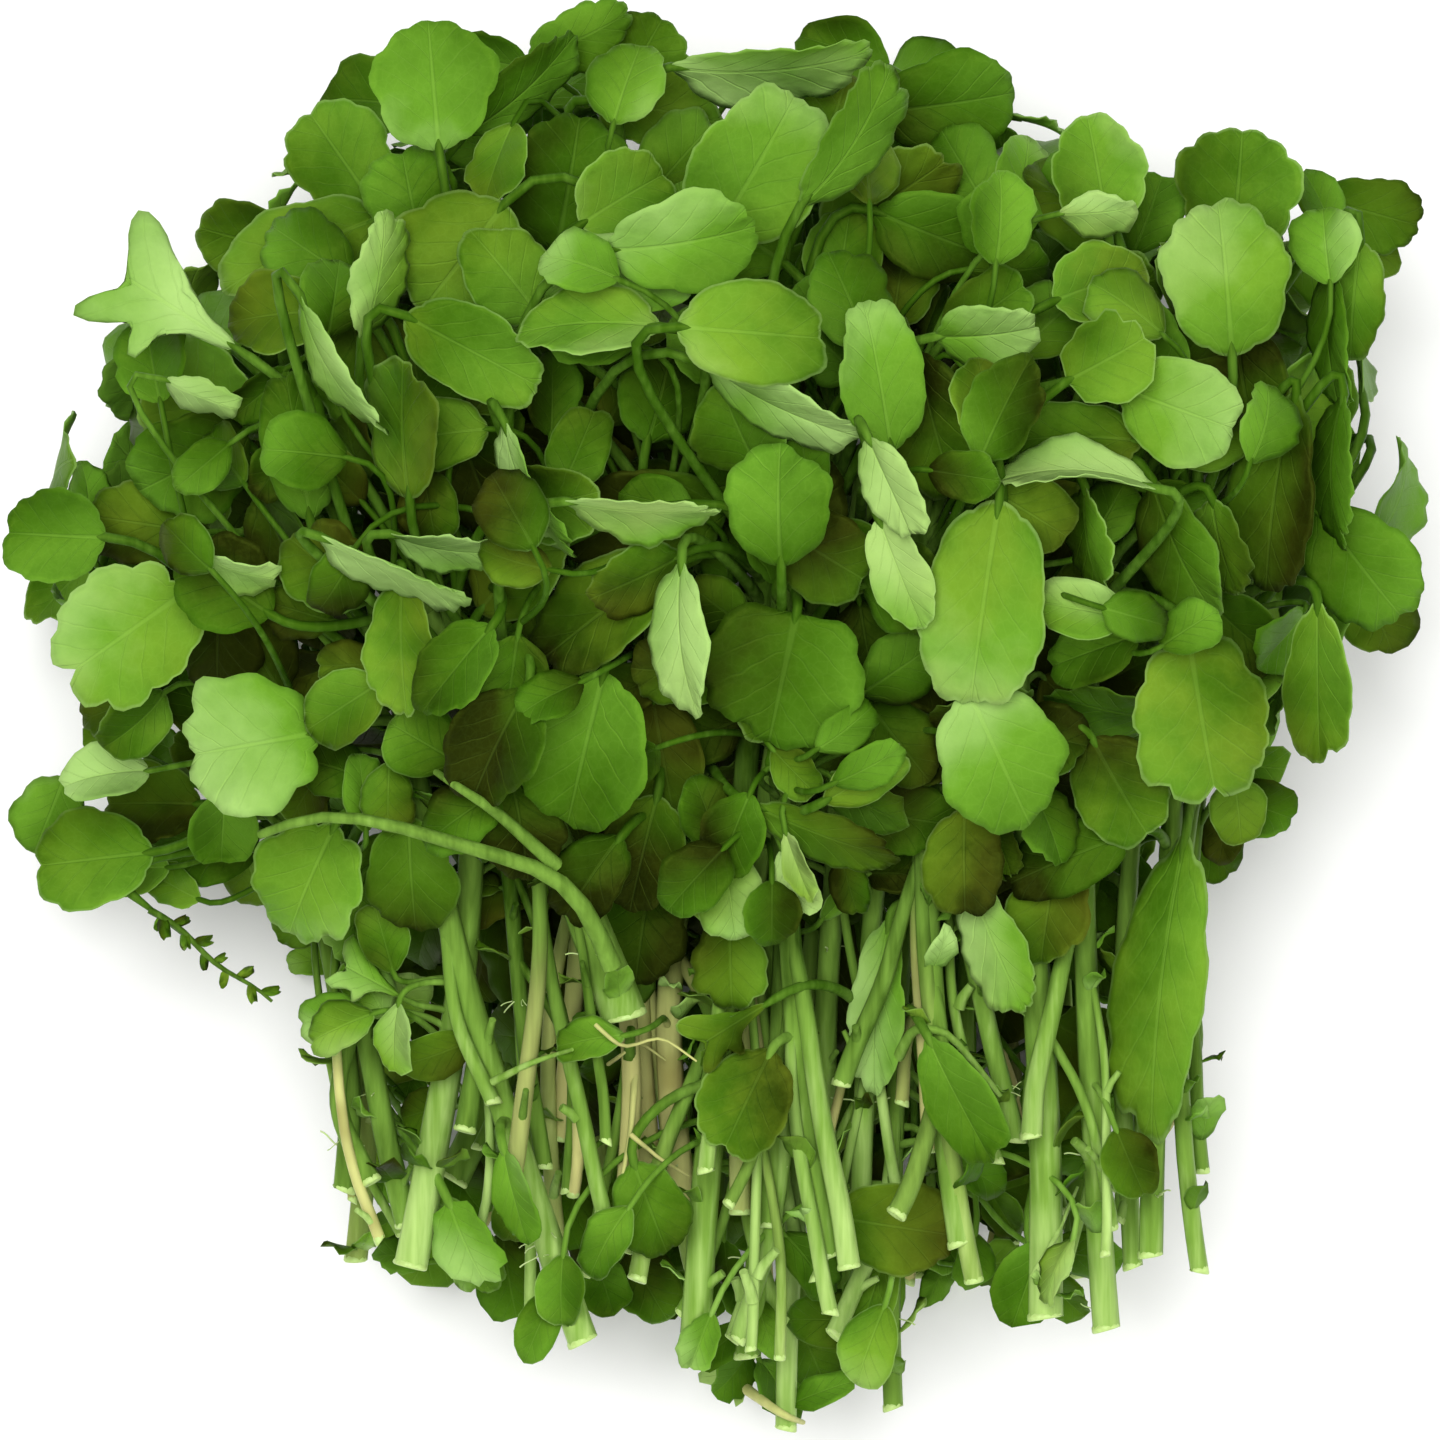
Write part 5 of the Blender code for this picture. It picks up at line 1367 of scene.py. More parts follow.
class Nodes:
    """Builds a geometry node tree. Its inputs come as name, kind and default."""

    def __init__(self, name, sockets):
        self.tree = bpy.data.node_groups.new(name, "GeometryNodeTree")
        for label, kind, *default in sockets:
            made = self.tree.interface.new_socket(label, in_out="INPUT", socket_type="NodeSocket" + kind)
            if default:
                made.default_value = default[0]
        self.tree.interface.new_socket("Geometry", in_out="OUTPUT", socket_type="NodeSocketGeometry")
        self.inputs = self.tree.nodes.new("NodeGroupInput").outputs

    def add(self, kind, inputs=None):
        return new_node(self.tree, kind, None, inputs)

    def get(self, kind, inputs=None, settings=None, output=0):
        """Adds a node and hands back one of its outputs."""
        return new_node(self.tree, kind, settings, inputs).outputs[output]

    def named(self, name, kind="FLOAT"):
        """A value that the mesh holds at each point."""
        settings = {"data_type": kind}
        return self.get("GeometryNodeInputNamedAttribute", {"Name": name}, settings, "Attribute")

    def maths(self, operation, *values):
        return self.get("ShaderNodeMath", dict(enumerate(values)), {"operation": operation})

    def above(self, value, limit):
        """Whether a value is greater than a limit."""
        return self.get("FunctionNodeCompare", {0: value, 1: limit}, {"operation": "GREATER_THAN"})

    def tube(self, line, profile, **more):
        inputs = {"Curve": line, "Profile Curve": profile, "Fill Caps": True, **more}
        return self.get("GeometryNodeCurveToMesh", inputs)

    def dressed(self, geometry, material, where=True):
        """Gives faces the material of one of the tree's inputs."""
        inputs = {"Geometry": geometry, "Material": self.inputs[material], "Selection": where}
        return self.get("GeometryNodeSetMaterial", inputs)

    def end(self, geometry):
        self.add("NodeGroupOutput", {"Geometry": geometry})
        return self.tree


def sprig_tree():
    """Turns the paths of a sprig into ridged tubes of their own girth, and gives each kind of face its
    material."""
    nodes = Nodes("sprig", [
        ("Geometry", "Geometry"), ("Sides", "Int", 10), ("Ridge depth", "Float", 0.04), ("Blade", "Material"),
        ("Stem", "Material"), ("Cut face", "Material"),
    ])
    girth = nodes.named("girth")
    choice = {"Geometry": nodes.inputs["Geometry"], "Selection": nodes.above(girth, 0.0)}
    parts = nodes.add("GeometryNodeSeparateGeometry", choice)
    line = nodes.get("GeometryNodeMeshToCurve", {"Mesh": parts.outputs["Selection"]})
    sides = {"Resolution": nodes.inputs["Sides"], "Radius": 1.0}
    ring = nodes.get("GeometryNodeCurvePrimitiveCircle", sides)
    share = nodes.get("GeometryNodeSplineParameter", output="Factor")
    wave = nodes.maths("COSINE", nodes.maths("MULTIPLY", share, RIDGES * 2 * math.pi))
    ridge = nodes.maths("MULTIPLY_ADD", wave, nodes.inputs["Ridge depth"], 1.0)
    spoke = {0: nodes.get("GeometryNodeInputPosition"), "Scale": ridge}
    spoke = nodes.get("ShaderNodeVectorMath", spoke, {"operation": "SCALE"})
    profile = nodes.get("GeometryNodeSetPosition", {"Geometry": ring, "Position": spoke})
    green = nodes.dressed(nodes.tube(line, profile, Scale=girth), "Stem")
    leafy = nodes.dressed(parts.outputs["Inverted"], "Blade")
    pale = nodes.dressed(leafy, "Cut face", nodes.above(nodes.named("cut"), 0.5))
    both = nodes.add("GeometryNodeJoinGeometry")
    for part in (pale, green):
        nodes.tree.links.new(part, both.inputs[0])
    smooth = nodes.get("GeometryNodeSetShadeSmooth", {"Geometry": both.outputs[0]})
    return nodes.end(nodes.get("GeometryNodeRealizeInstances", {"Geometry": smooth}))


def rootlet_tree():
    """Sets a bent side root on every point, along the point's aim and as long as its span."""
    nodes = Nodes("rootlets", [
        ("Geometry", "Geometry"), ("Girth as a share", "Float", 0.045), ("Seed", "Int", 4),
        ("Material", "Material"),
    ])
    line = nodes.get("GeometryNodeCurvePrimitiveBezierSegment", {
        "Resolution": 6,
        "Start": (0, 0, -0.08),
        "Start Handle": (0, 0, 0.3),
        "End Handle": (0.35, 0, 0.6),
        "End": (0.25, 0.1, 1.0),
    })
    size = {"Resolution": 4, "Radius": nodes.inputs["Girth as a share"]}
    root = nodes.tube(line, nodes.get("GeometryNodeCurvePrimitiveCircle", size))
    spin = {3: ONE_TURN, "Seed": nodes.inputs["Seed"]}
    spin = nodes.get("FunctionNodeRandomValue", spin, {"data_type": "FLOAT"}, 1)
    aim = {"Vector": nodes.named("aim", "FLOAT_VECTOR")}
    aim = nodes.get("FunctionNodeAlignRotationToVector", aim, {"axis": "Z"})
    about = nodes.get("FunctionNodeAxisAngleToRotation", {"Axis": (0, 0, 1), "Angle": spin})
    turned = {"Rotation": aim, "Rotate By": about}
    turned = nodes.get("FunctionNodeRotateRotation", turned, {"rotation_space": "LOCAL"})
    spots = {"Points": nodes.inputs["Geometry"], "Instance": root, "Rotation": turned}
    roots = nodes.get("GeometryNodeInstanceOnPoints", {**spots, "Scale": nodes.named("span")})
    real = nodes.get("GeometryNodeRealizeInstances", {"Geometry": roots})
    smooth = nodes.get("GeometryNodeSetShadeSmooth", {"Geometry": real})
    return nodes.end(nodes.dressed(smooth, "Material"))


def grown(made, tree, values):
    """Runs a geometry node tree on an object and keeps the result as its plain mesh."""
    modifier = made.modifiers.new(tree.name, "NODES")
    modifier.node_group = tree
    sockets = {item.name: item.identifier for item in tree.interface.items_tree if item.in_out == "INPUT"}
    for name, value in values.items():
        modifier[sockets[name]] = value
    bpy.context.view_layer.update()
    data = bpy.data.meshes.new_from_object(made.evaluated_get(bpy.context.evaluated_depsgraph_get()))
    made.modifiers.clear()
    made.data = data
    data.name = made.name
    return made


class Term:
    """A socket that takes plain arithmetic."""

    def __init__(self, paint, socket):
        self.paint, self.socket = paint, socket

    def maths(self, operation, *others):
        return self.paint.node("ShaderNodeMath", {"operation": operation}, dict(enumerate((self, *others))))

    def __add__(self, other):
        return self.maths("ADD", other)

    def __sub__(self, other):
        return self.maths("SUBTRACT", other)

    def __mul__(self, other):
        return self.maths("MULTIPLY", other)

    def __truediv__(self, other):
        return self.maths("DIVIDE", other)

    def __pow__(self, other):
        return self.maths("POWER", other)

    def __rsub__(self, other):
        return self.paint.node("ShaderNodeMath", {"operation": "SUBTRACT"}, {0: other, 1: self})

    __radd__ = __add__
    __rmul__ = __mul__

    def rise(self, low, high):
        """0 below low, 1 above high, and smooth between."""
        inputs = {"Value": self, "From Min": low, "From Max": high}
        return self.paint.node("ShaderNodeMapRange", {"interpolation_type": "SMOOTHSTEP"}, inputs)


class Paint:
    """Builds a material's nodes."""

    def __init__(self, name):
        self.material = bpy.data.materials.new(name)
        self.material.use_nodes = True
        self.tree = self.material.node_tree
        self.tree.nodes.clear()

    def node(self, kind, settings=None, inputs=None, output=0):
        plain = {name: getattr(value, "socket", value) for name, value in (inputs or {}).items()}
        return Term(self, new_node(self.tree, kind, settings, plain).outputs[output])

    def attribute(self, name, output="Color"):
        return self.node("ShaderNodeAttribute", {"attribute_name": name}, output=output)

    def split(self, colour):
        return [self.node("ShaderNodeSeparateColor", None, {"Color": colour}, output=i) for i in range(3)]

    def noise(self, scale, detail=3.0, stretch=(1, 1, 1)):
        place = self.node("ShaderNodeTexCoord", output="Object")
        place = self.node("ShaderNodeMapping", None, {"Vector": place, "Scale": stretch})
        return self.node("ShaderNodeTexNoise", None, {"Vector": place, "Scale": scale, "Detail": detail})

    def axes(self, place, numbers):
        """Some of a place's three coordinates, by number."""
        return [self.node("ShaderNodeSeparateXYZ", None, {0: place}, output=i) for i in numbers]

    def place_parts(self):
        """Height above the table, and how far towards the leaves."""
        return self.axes(self.node("ShaderNodeTexCoord", output="Object"), (2, 1))

    def mix(self, factor, *colours):
        a, b = (colour if isinstance(colour, Term) else (*colour, 1.0) for colour in colours)
        return self.node("ShaderNodeMix", {"data_type": "RGBA"}, {0: factor, 6: a, 7: b}, output=2)

    def ramp(self, factor, stops):
        made = self.node("ShaderNodeValToRGB", None, {"Fac": factor})
        elements = made.socket.node.color_ramp.elements
        for place, _ in stops[1:-1]:
            elements.new(place)
        for element, (place, colour) in zip(elements, stops):
            element.position, element.color = place, (*colour, 1.0)
        return made

    def bump(self, height, strength, distance):
        inputs = {"Height": height, "Strength": strength, "Distance": distance}
        return self.node("ShaderNodeBump", None, inputs)

    def surface(self, colour, roughness, normal, settings):
        inputs = {"Base Color": colour, "Roughness": roughness, "Normal": normal, **settings}
        return self.node("ShaderNodeBsdfPrincipled", None, inputs)

    def lit_through(self, skin, share, colour):
        """A skin with a share of light that comes through it."""
        glow = self.node("ShaderNodeBsdfTranslucent", None, {"Color": (*colour, 1.0)})
        return self.finish(self.node("ShaderNodeMixShader", None, {0: share, 1: skin, 2: glow}))

    def finish(self, shader):
        end = self.tree.nodes.new("ShaderNodeOutputMaterial")
        self.tree.links.new(shader.socket, end.inputs["Surface"])
        return self.material


def srgb(code):
    """A colour written as six hexadecimal digits, as linear values."""
    parts = [int(code[i:i + 2], 16) / 255 for i in (0, 2, 4)]
    return tuple(c / 12.92 if c <= 0.04045 else ((c + 0.055) / 1.055) ** 2.4 for c in parts)


SHEEN = {"Specular IOR Level": 0.17, "Specular Tint": (0.7, 1.0, 0.1, 1.0)}


def blade_material(colours):
    """Soft green leaf: its tone and warmth come from the leaf, and pale veins run out from the midrib. A
    painted shade runs across each leaf and a painted highlight along the rim of some.
    """
    paint = Paint("cress_blade")
    tone, warmth, under = paint.split(paint.attribute("tint"))
    bearing = paint.attribute("tint", "Alpha") * FULL_TURN
    place = paint.node("ShaderNodeUVMap", {"uv_map": "blade"})
    spot = [part * 2.0 - 1.0 for part in paint.axes(place, (0, 1))]
    across, forward = spot[0].maths("ABSOLUTE"), spot[1]
    wander = paint.noise(260.0, 2.0) - 0.5
    cloud = paint.noise(75.0, 3.0)
    patch = paint.noise(170.0, 4.0)
    midrib = 1.0 - (across / (0.05 - 0.03 * forward)).rise(0.35, 1.0)
    ladder = (forward - 0.85 * across**0.75 + wander * 0.14) * 2.6
    saw = (ladder + 20.0).maths("PINGPONG", 0.5)
    sides = (1.0 - saw.rise(0.0, 0.07)) * (1.0 - across.rise(0.5, 0.95))
    cells = {"Vector": place, "Scale": 15.0}
    net = paint.node("ShaderNodeTexVoronoi", {"feature": "DISTANCE_TO_EDGE"}, cells)
    ribs = midrib.maths("MAXIMUM", sides * 0.7)
    veins = ribs.maths("MAXIMUM", (1.0 - net.rise(0.0, 0.1)) * 0.3)
    reach = spot[0] ** 2.0 + forward**2.0
    # Painted highlight: a pale line along the rim of some leaves
    rim = reach.rise(0.9, 0.97) * warmth.rise(0.1, 0.7)
    height, _ = paint.place_parts()
    shaded = 1.0 - height.rise(0.01, 0.06)
    # Painted shade across each leaf: lighter towards one side and darker towards the other, at the leaf's own
    # bearing
    lean = spot[0] * bearing.maths("COSINE") + forward * bearing.maths("SINE")
    level = tone + (cloud - 0.5) * 0.38 + (patch - 0.5) * 0.22 + lean * 0.2 - shaded * 0.05
    shades = (colours.deep, colours.middle, colours.bright, colours.pale)
    green = paint.ramp(level, list(zip((0.0, 0.3, 0.65, 1.0), shades)))
    green = paint.mix(under * (1.0 - shaded) * 0.4, green, colours.underside)
    aged = warmth.rise(0.2, 0.8) * cloud.rise(0.35, 0.7) * 0.22
    aged = aged + warmth.rise(0.75, 1.0) * patch.rise(0.4, 0.6) * 0.36
    green = paint.mix(aged, green, colours.yellowed)
    green = paint.mix(veins * (0.04 + 0.13 * level.rise(0.0, 0.8)), green, colours.vein)
    # The painted rim highlight, in the pale green
    green = paint.mix(rim * 0.35 * level.rise(0.0, 0.5), green, colours.pale)
    rough = 0.42 + cloud * 0.16 + under * 0.14
    dome = reach * (bearing * 2.0).maths("SINE") * 1.2 + across * (bearing * 3.0).maths("COSINE") * 1.8
    relief = cloud * 1.2 + patch * 0.8 - ribs * 0.12 + dome
    skin = paint.surface(green, rough, paint.bump(relief, 0.6, 0.0013), SHEEN)
    return paint.lit_through(skin, 0.10, colours.glow)


def stem_material(colours):
    """Juicy ribbed stem, paler towards the cut ends, with long streaks."""
    paint = Paint("cress_stem")
    tone, warmth, stalk = paint.split(paint.attribute("tint"))
    streak = paint.noise(900.0, 3.0, (1.0, 0.08, 1.0))
    cloud = paint.noise(90.0, 2.0)
    height, forward = paint.place_parts()
    low = 1.0 - forward.rise(-0.085, -0.01)
    shaded = 1.0 - height.rise(0.0, 0.045)
    level = tone * 0.5 + (streak - 0.5) * 0.7 + (cloud - 0.5) * 0.4 + low * 0.47 - shaded * 0.5 - 0.12
    shades = (colours.stem_deep, colours.stem_middle, colours.stem_pale)
    green = paint.ramp(level, list(zip((0.0, 0.5, 1.0), shades)))
    leafy = paint.ramp(level, [(0.1, colours.middle), (0.7, colours.bright)])
    green = paint.mix(stalk * 1.1, green, leafy)
    straw = warmth.rise(0.72, 0.95) * (1.0 - forward.rise(-0.05, -0.015)) * (0.6 + 0.4 * streak)
    green = paint.mix(straw, green, colours.straw)
    brown = (cloud - 0.55).rise(0.0, 0.2) * straw
    green = paint.mix(brown * 0.7, green, colours.brown)
    rough = 0.42 + cloud * 0.18
    normal = paint.bump(streak * 0.6 + cloud * 0.4, 0.4, 0.0004)
    return paint.lit_through(paint.surface(green, rough, normal, SHEEN), 0.08, colours.glow)


def plain_flesh(name, pale, dull, scale):
    """A pale wet surface, for cut faces and side roots."""
    paint = Paint(name)
    cloud = paint.noise(scale, 3.0)
    colour = paint.mix(cloud.rise(0.3, 0.75), pale, dull)
    normal = paint.bump(cloud, 0.3, 0.0003)
    return paint.finish(paint.surface(colour, 0.4 + cloud * 0.2, normal, {"Specular IOR Level": 0.45}))


def floor_material(colour):
    paint = Paint("studio_floor")
    cloud = paint.noise(3.0, 2.0)
    tone = paint.mix(cloud * 0.04, colour, (0.8, 0.8, 0.8))
    normal = paint.bump(cloud, 0.02, 0.001)
    return paint.finish(paint.surface(tone, 0.65 + cloud * 0.1, normal, {"Specular IOR Level": 0.2}))


def shade_of(name, description, code):
    """A colour that a user may change."""
    return FloatVectorProperty(name=name, description=description, subtype="COLOR", default=srgb(code))


def count_of(name, description, usual, least, most):
    """A number that a user may change."""
    return IntProperty(name=name, description=description, default=usual, min=least, max=most)


def length_of(name, description, usual):
    """A length in metres that a user may change."""
    return FloatProperty(name=name, description=description, default=usual, unit="LENGTH")


class WatercressSizes(bpy.types.PropertyGroup):
    stem_sides: count_of("Stem sides", "Faces round a stem or stalk", 10, 5, 24)
    ridge_depth: FloatProperty(
        name="Ridge depth",
        description="How deep a stem's ridges are, as a share of its radius",
        default=0.035,
        min=0.0,
        max=0.2,
    )
    blade_spokes: count_of("Blade spokes", "Points round the edge of a large leaf", 56, 16, 96)
    blade_rings: count_of("Blade rings", "Rings of points from a leaf's middle to its edge", 7, 3, 12)


class WatercressColours(bpy.types.PropertyGroup):
    # The deep green is the painted shade of leaves low in the bunch and in its dark places
    deep: shade_of("Deep green", "Leaves in the depth of the bunch", "1b2103")
    middle: shade_of("Middle green", "Most upper faces", "38600c")
    bright: shade_of("Bright green", "Leaves in the light", "5f8f26")
    # The pale green also paints a highlight along the rim of some leaves
    pale: shade_of("Pale green", "Young leaves and turned edges", "9dc16e")
    underside: shade_of("Underside", "Lower faces of the leaves", "74a23c")
    vein: shade_of("Vein", "Midrib and veins", "93c050")
    yellowed: shade_of("Yellowed", "Ageing leaves", "868f26")
    glow: shade_of("Light through", "Light that comes through a leaf", "6aa40c")
    stem_deep: shade_of("Deep stem", "Shaded side of the stems", "2c4a0c")
    stem_middle: shade_of("Stem", "Most of the stems", "6f943a")
    stem_pale: shade_of("Pale stem", "Stems towards their cut ends", "b4d27c")
    straw: shade_of("Straw", "Yellowed stems", "cdc681")
    cut: shade_of("Cut face", "Flesh where a stem is cut", "a6c06c")
    brown: shade_of("Brown", "Dead bits of stem", "6b5c22")
    root: shade_of("Side root", "Fine roots along the stems", "b6c888")


class WatercressStage(bpy.types.PropertyGroup):
    camera_height: length_of("Camera height", "Camera above the surface", 2.0)
    frame_width: length_of("Frame width", "What the picture is across, at the head's height", 0.1872)
    light_power: FloatProperty(name="Light power", description="Main light", default=33.0, unit="POWER")
    fill_light: FloatProperty(name="Fill light", description="Light from all round", default=0.42)
    floor: FloatVectorProperty(
        name="Floor", description="The pale surface", subtype="COLOR", default=(0.93, 0.93, 0.92))


class Bunch:
    """The grown layout, kept between the operators."""

    stems = []
    thicket = None
    shift = np.zeros(3)


def inside_edge(x, y):
    """Whether a point lies in the bunch's edge, as seen from above."""
    inside = False
    for (x1, y1), (x2, y2) in zip(EDGE, EDGE[1:] + EDGE[:1]):
        if (y1 > y) != (y2 > y) and x < x1 + (y - y1) / (y2 - y1) * (x2 - x1):
            inside = not inside
    return inside


def from_edge(x, y):
    """How far a point lies inside the bunch's edge, as seen from above."""
    if not inside_edge(x, y):
        return 0.0
    place, corners = np.array([x, y], float), np.array(EDGE, float)
    runs = np.roll(corners, -1, axis=0) - corners
    shares = np.clip(((place - corners) * runs).sum(1) / (runs**2).sum(1), 0, 1)
    return np.linalg.norm(corners + shares[:, None] * runs - place, axis=1).min()


def top_at(thicket, x, y):
    """Height of the first thing that a plumb line meets, and whether that is a stem or a stalk."""
    place = np.array([x, y])
    near = np.flatnonzero(((thicket.lows[:, :2] < place) & (thicket.highs[:, :2] > place)).all(1))
    top, woody = 0.0, False
    for i in near:
        hit = thicket.trees[i].ray_cast(Vector((x, y, ABOVE_ALL)), Vector((0, 0, -1)))[0]
        if hit and hit.z > top:
            top, woody = hit.z, thicket.owners[i] is not None
    return top, woody


def grid(half, spacing, shake=lambda: 0.0):
    """Places of a staggered grid that lie within the bunch's edge, as x and y."""
    for i in range(round(2 * half / spacing)):
        for j in range(round(2 * half / spacing)):
            x = -half + spacing * (i + 0.5 * (j % 2)) + shake()
            y = -half + spacing * j + shake()
            if inside_edge(x, y):
                yield x, y


def loose_leaf(random, x, y, turns):
    """The way of the tip and of the upper face of a leaf that points out of the head, turned, pitched and
    rolled by chance."""
    outward = math.degrees(math.atan2(y - HEAD_CENTRE[1] + AIM_FRONT, x))
    heading, pitch, roll = (random.uniform(*limits) for limits in turns)
    return aimed(outward + heading, pitch, roll)


def shaken(random, x, y):
    """A place a little off from another."""
    return [place + random.uniform(-PLACE_SHAKE, PLACE_SHAKE) for place in (x, y)]


def squeeze_leaf(leaf, stems, spots, thicket, routes=SQUEEZE_ROUTES):
    """Joins a smaller leaf whose blade is clear of everything. Its stalk keeps clear if it can."""
    highest = max(point[2] for point in leaf.outline() + leaf.ribs())
    if highest > CAD_HIGH.z / MM + TOP_MARGIN:
        return False
    return try_leaf(leaf, stems, spots, thicket, routes, SQUEEZE_GAP, (True, False))


def set_scrap(leaf, stem, owner, thicket):
    """Sets a leaf that has no stalk against its stem. True if it is clear of the table and of all others."""
    low = min(corner[2] for corner in leaf.outline())
    if low < TABLE_GAP or thicket.touches(blade_mesh(leaf, SQUEEZE_GAP), owner):
        return False
    thicket.add(blade_mesh(leaf), None)
    stem.scraps.append(leaf)
    return True


def fill_gaps(stems, spots, thicket, random, spacing, depth, band, sizes, front, back):
    """Leaves wherever the view from above reaches too far down."""
    for x, y in grid(FILL_HALF, spacing, lambda: random.uniform(-FILL_SHAKE, FILL_SHAKE)):
        if not front < y < back:
            continue
        crown = crown_height(x, y) - FILL_SINK
        top, _ = top_at(thicket, x, y)
        if top > max(crown - depth, SHOWS_TABLE):
            continue
        for attempt in range(FILL_TRIES):
            height = max(top + FILL_RISE, FILL_LOWEST, crown - depth * random.uniform(*band))
            ways = loose_leaf(random, x, y, FILL_TURNS)
            length = random.uniform(*sizes) * (1 - FILL_SHRINK * attempt)
            width = length * random.uniform(*FILL_WIDTHS)
            place = (*shaken(random, x, y), height)
            leaf = Leaf(random.choice(FILL_KINDS), place, *ways, length, width, drawn_curl(random))
            if squeeze_leaf(leaf, stems, spots, thicket):
                break


def more_leaves(stems, spots, thicket, random):
    """The leaves of the second table, each over whatever lies there already."""
    for kind, x, y, length, width, heading, pitch, roll, tone in MORE_LEAVES:
        for attempt in range(MORE_TRIES):
            sway = MORE_TURN * attempt * random.uniform(-1, 1)
            ways = aimed(heading + sway, pitch + sway / 4, roll - sway / 4)
            top = max(top_at(thicket, x + side * length / 4, y)[0] for side in (-1, 0, 1))
            height = max(top + MORE_OVER, MORE_LOWEST) + MORE_RISE * attempt
            leaf = Leaf(kind, (x, y, height), *ways, length, width, drawn_curl(random))
            if squeeze_leaf(leaf, stems, spots, thicket):
                leaf.tone = tone
                break


def cover_stalks(stems, spots, thicket, random):
    """Leaves over the stalks that show in the head."""
    for x, y in sorted(grid(GRID_HALF, COVER_SPACING), key=lambda place: place[1]):
        top, woody = top_at(thicket, x, y)
        if y < COVER_FRONT or not woody or top < crown_height(x, y) - COVER_DEPTH:
            continue
        for attempt in range(COVER_TRIES):
            ways = loose_leaf(random, x, y, COVER_TURNS)
            length = random.uniform(*COVER_LENGTHS)
            place = (*shaken(random, x, y), top + COVER_OVER + COVER_RISE * attempt)
            width = length * random.uniform(*COVER_WIDTHS)
            leaf = Leaf(random.choice(COVER_KINDS), place, *ways, length, width, drawn_curl(random))
            if squeeze_leaf(leaf, stems, spots, thicket):
                break


def side_shoots(stems, thicket, random):
    """Thin cut stalks that join the stems partway up and lie between them."""
    for _ in range(SIDE_SHOOTS):
        owner = random.randrange(len(stems))
        stem = stems[owner]
        for _ in range(SHOOT_TRIES):
            join = stem.on_tube(random.uniform(*SHOOT_JOINS))[0]
            across = join[0] + random.uniform(*SHOOT_ACROSS)
            foot = np.array([across, random.uniform(*SHOOT_FEET), join[2] + random.uniform(*SHOOT_DROPS)])
            if foot[2] < SHOOT_LOWEST or not inside_edge(*foot[:2]) or foot[1] > join[1] - SHOOT_SHORTEST:
                continue
            bend, lift = (random.uniform(*limits) for limits in SHOOT_BENDS)
            waist = (foot + join) / 2 + np.array([bend, 0.0, lift])
            girth = random.uniform(*SHOOT_GIRTHS)
            shoot = Stem(foot, waist, join, (girth, SHOOT_TAPER * girth))
            if not thicket.touches(stem_mesh(shoot), owner):
                thicket.add(stem_mesh(shoot), owner)
                stem.shoots.append(shoot)
                break


def young_leaves(stems, thicket, random):
    """Small leaves and scraps of leaf without a stalk, close against the lower stems."""
    for _ in range(SCRAPS):
        owner = random.randrange(len(stems))
        point, along, radius = stems[owner].on_tube(random.uniform(*SCRAP_SHARES))
        out = around(along, random.uniform(*SCRAP_TURNS))
        length = random.uniform(*SCRAP_LENGTHS)
        way = unit(out + along * random.uniform(*SCRAP_LEANS))
        up = unit(np.cross(way, np.cross(out, along)) + out * 0.01) * random.choice((-1, 1))
        place = point + out * 0.6 * radius + way * 0.5 * length
        kind = random.choice(SCRAP_KINDS)
        width = length * random.uniform(*SCRAP_WIDTHS)
        leaf = Leaf(kind, place, way, up, length, width, drawn_curl(random))
        if set_scrap(leaf, stems[owner], owner, thicket):
            leaf.tone = random.uniform(*SCRAP_TONES)


def close_gaps(stems, thicket, random):
    """Leaves set straight on a stem wherever the table still shows from above."""
    sites = []
    for owner, stem in enumerate(stems):
        for share in np.linspace(*GAP_SHARES, GAP_SITES):
            point, _, radius = stem.on_tube(share)
            sites.append((*point, radius, owner))
    sites = np.array(sites)
    for x, y in grid(GRID_HALF, GAP_SPACING):
        if top_at(thicket, x, y)[0] > SHOWS_TABLE:
            continue
        away = np.hypot(sites[:, 0] - x, sites[:, 1] - y)
        near = (away > sites[:, 3] + 0.5) & (away < GAP_REACH) & (sites[:, 2] > GAP_LOWEST)
        near = np.flatnonzero(near)
        for _ in range(min(GAP_TRIES, len(near))):
            *point, radius, owner = sites[near[random.randrange(len(near))]]
            owner = int(owner)
            way = np.array([x, y, max(GAP_TIP_LOWEST, point[2] + random.uniform(*GAP_RISES))]) - point
            length = np.linalg.norm(way) * random.uniform(*GAP_LENGTHS) + 1.0
            up = unit(np.array([*(random.uniform(-GAP_LEAN, GAP_LEAN) for _ in range(2)), 1.0]))
            width = length * random.uniform(*GAP_WIDTHS)
            place = np.array(point) + unit(way) * 0.6 * radius + unit(way) * 0.5 * length
            leaf = Leaf(random.choice(GAP_KINDS), place, way, up, length, width, drawn_curl(random))
            if set_scrap(leaf, stems[owner], owner, thicket):
                break


def extra_growth(stems, spots, thicket, random):
    """Smaller leaves and side shoots that fill the bunch out behind and between the others."""
    side_shoots(stems, thicket, random)
    young_leaves(stems, thicket, random)
    spots.free[:] = True
    for count, scale, sizes in EXTRA_SHELLS:
        place_shell(stems, spots, thicket, random, count, scale, sizes, squeeze_leaf)
    spots.free[:] = True
    more_leaves(stems, spots, thicket, random)
    cover_stalks(stems, spots, thicket, random)
    for fill in FILLS:
        fill_gaps(stems, spots, thicket, random, *fill)
    close_gaps(stems, thicket, random)


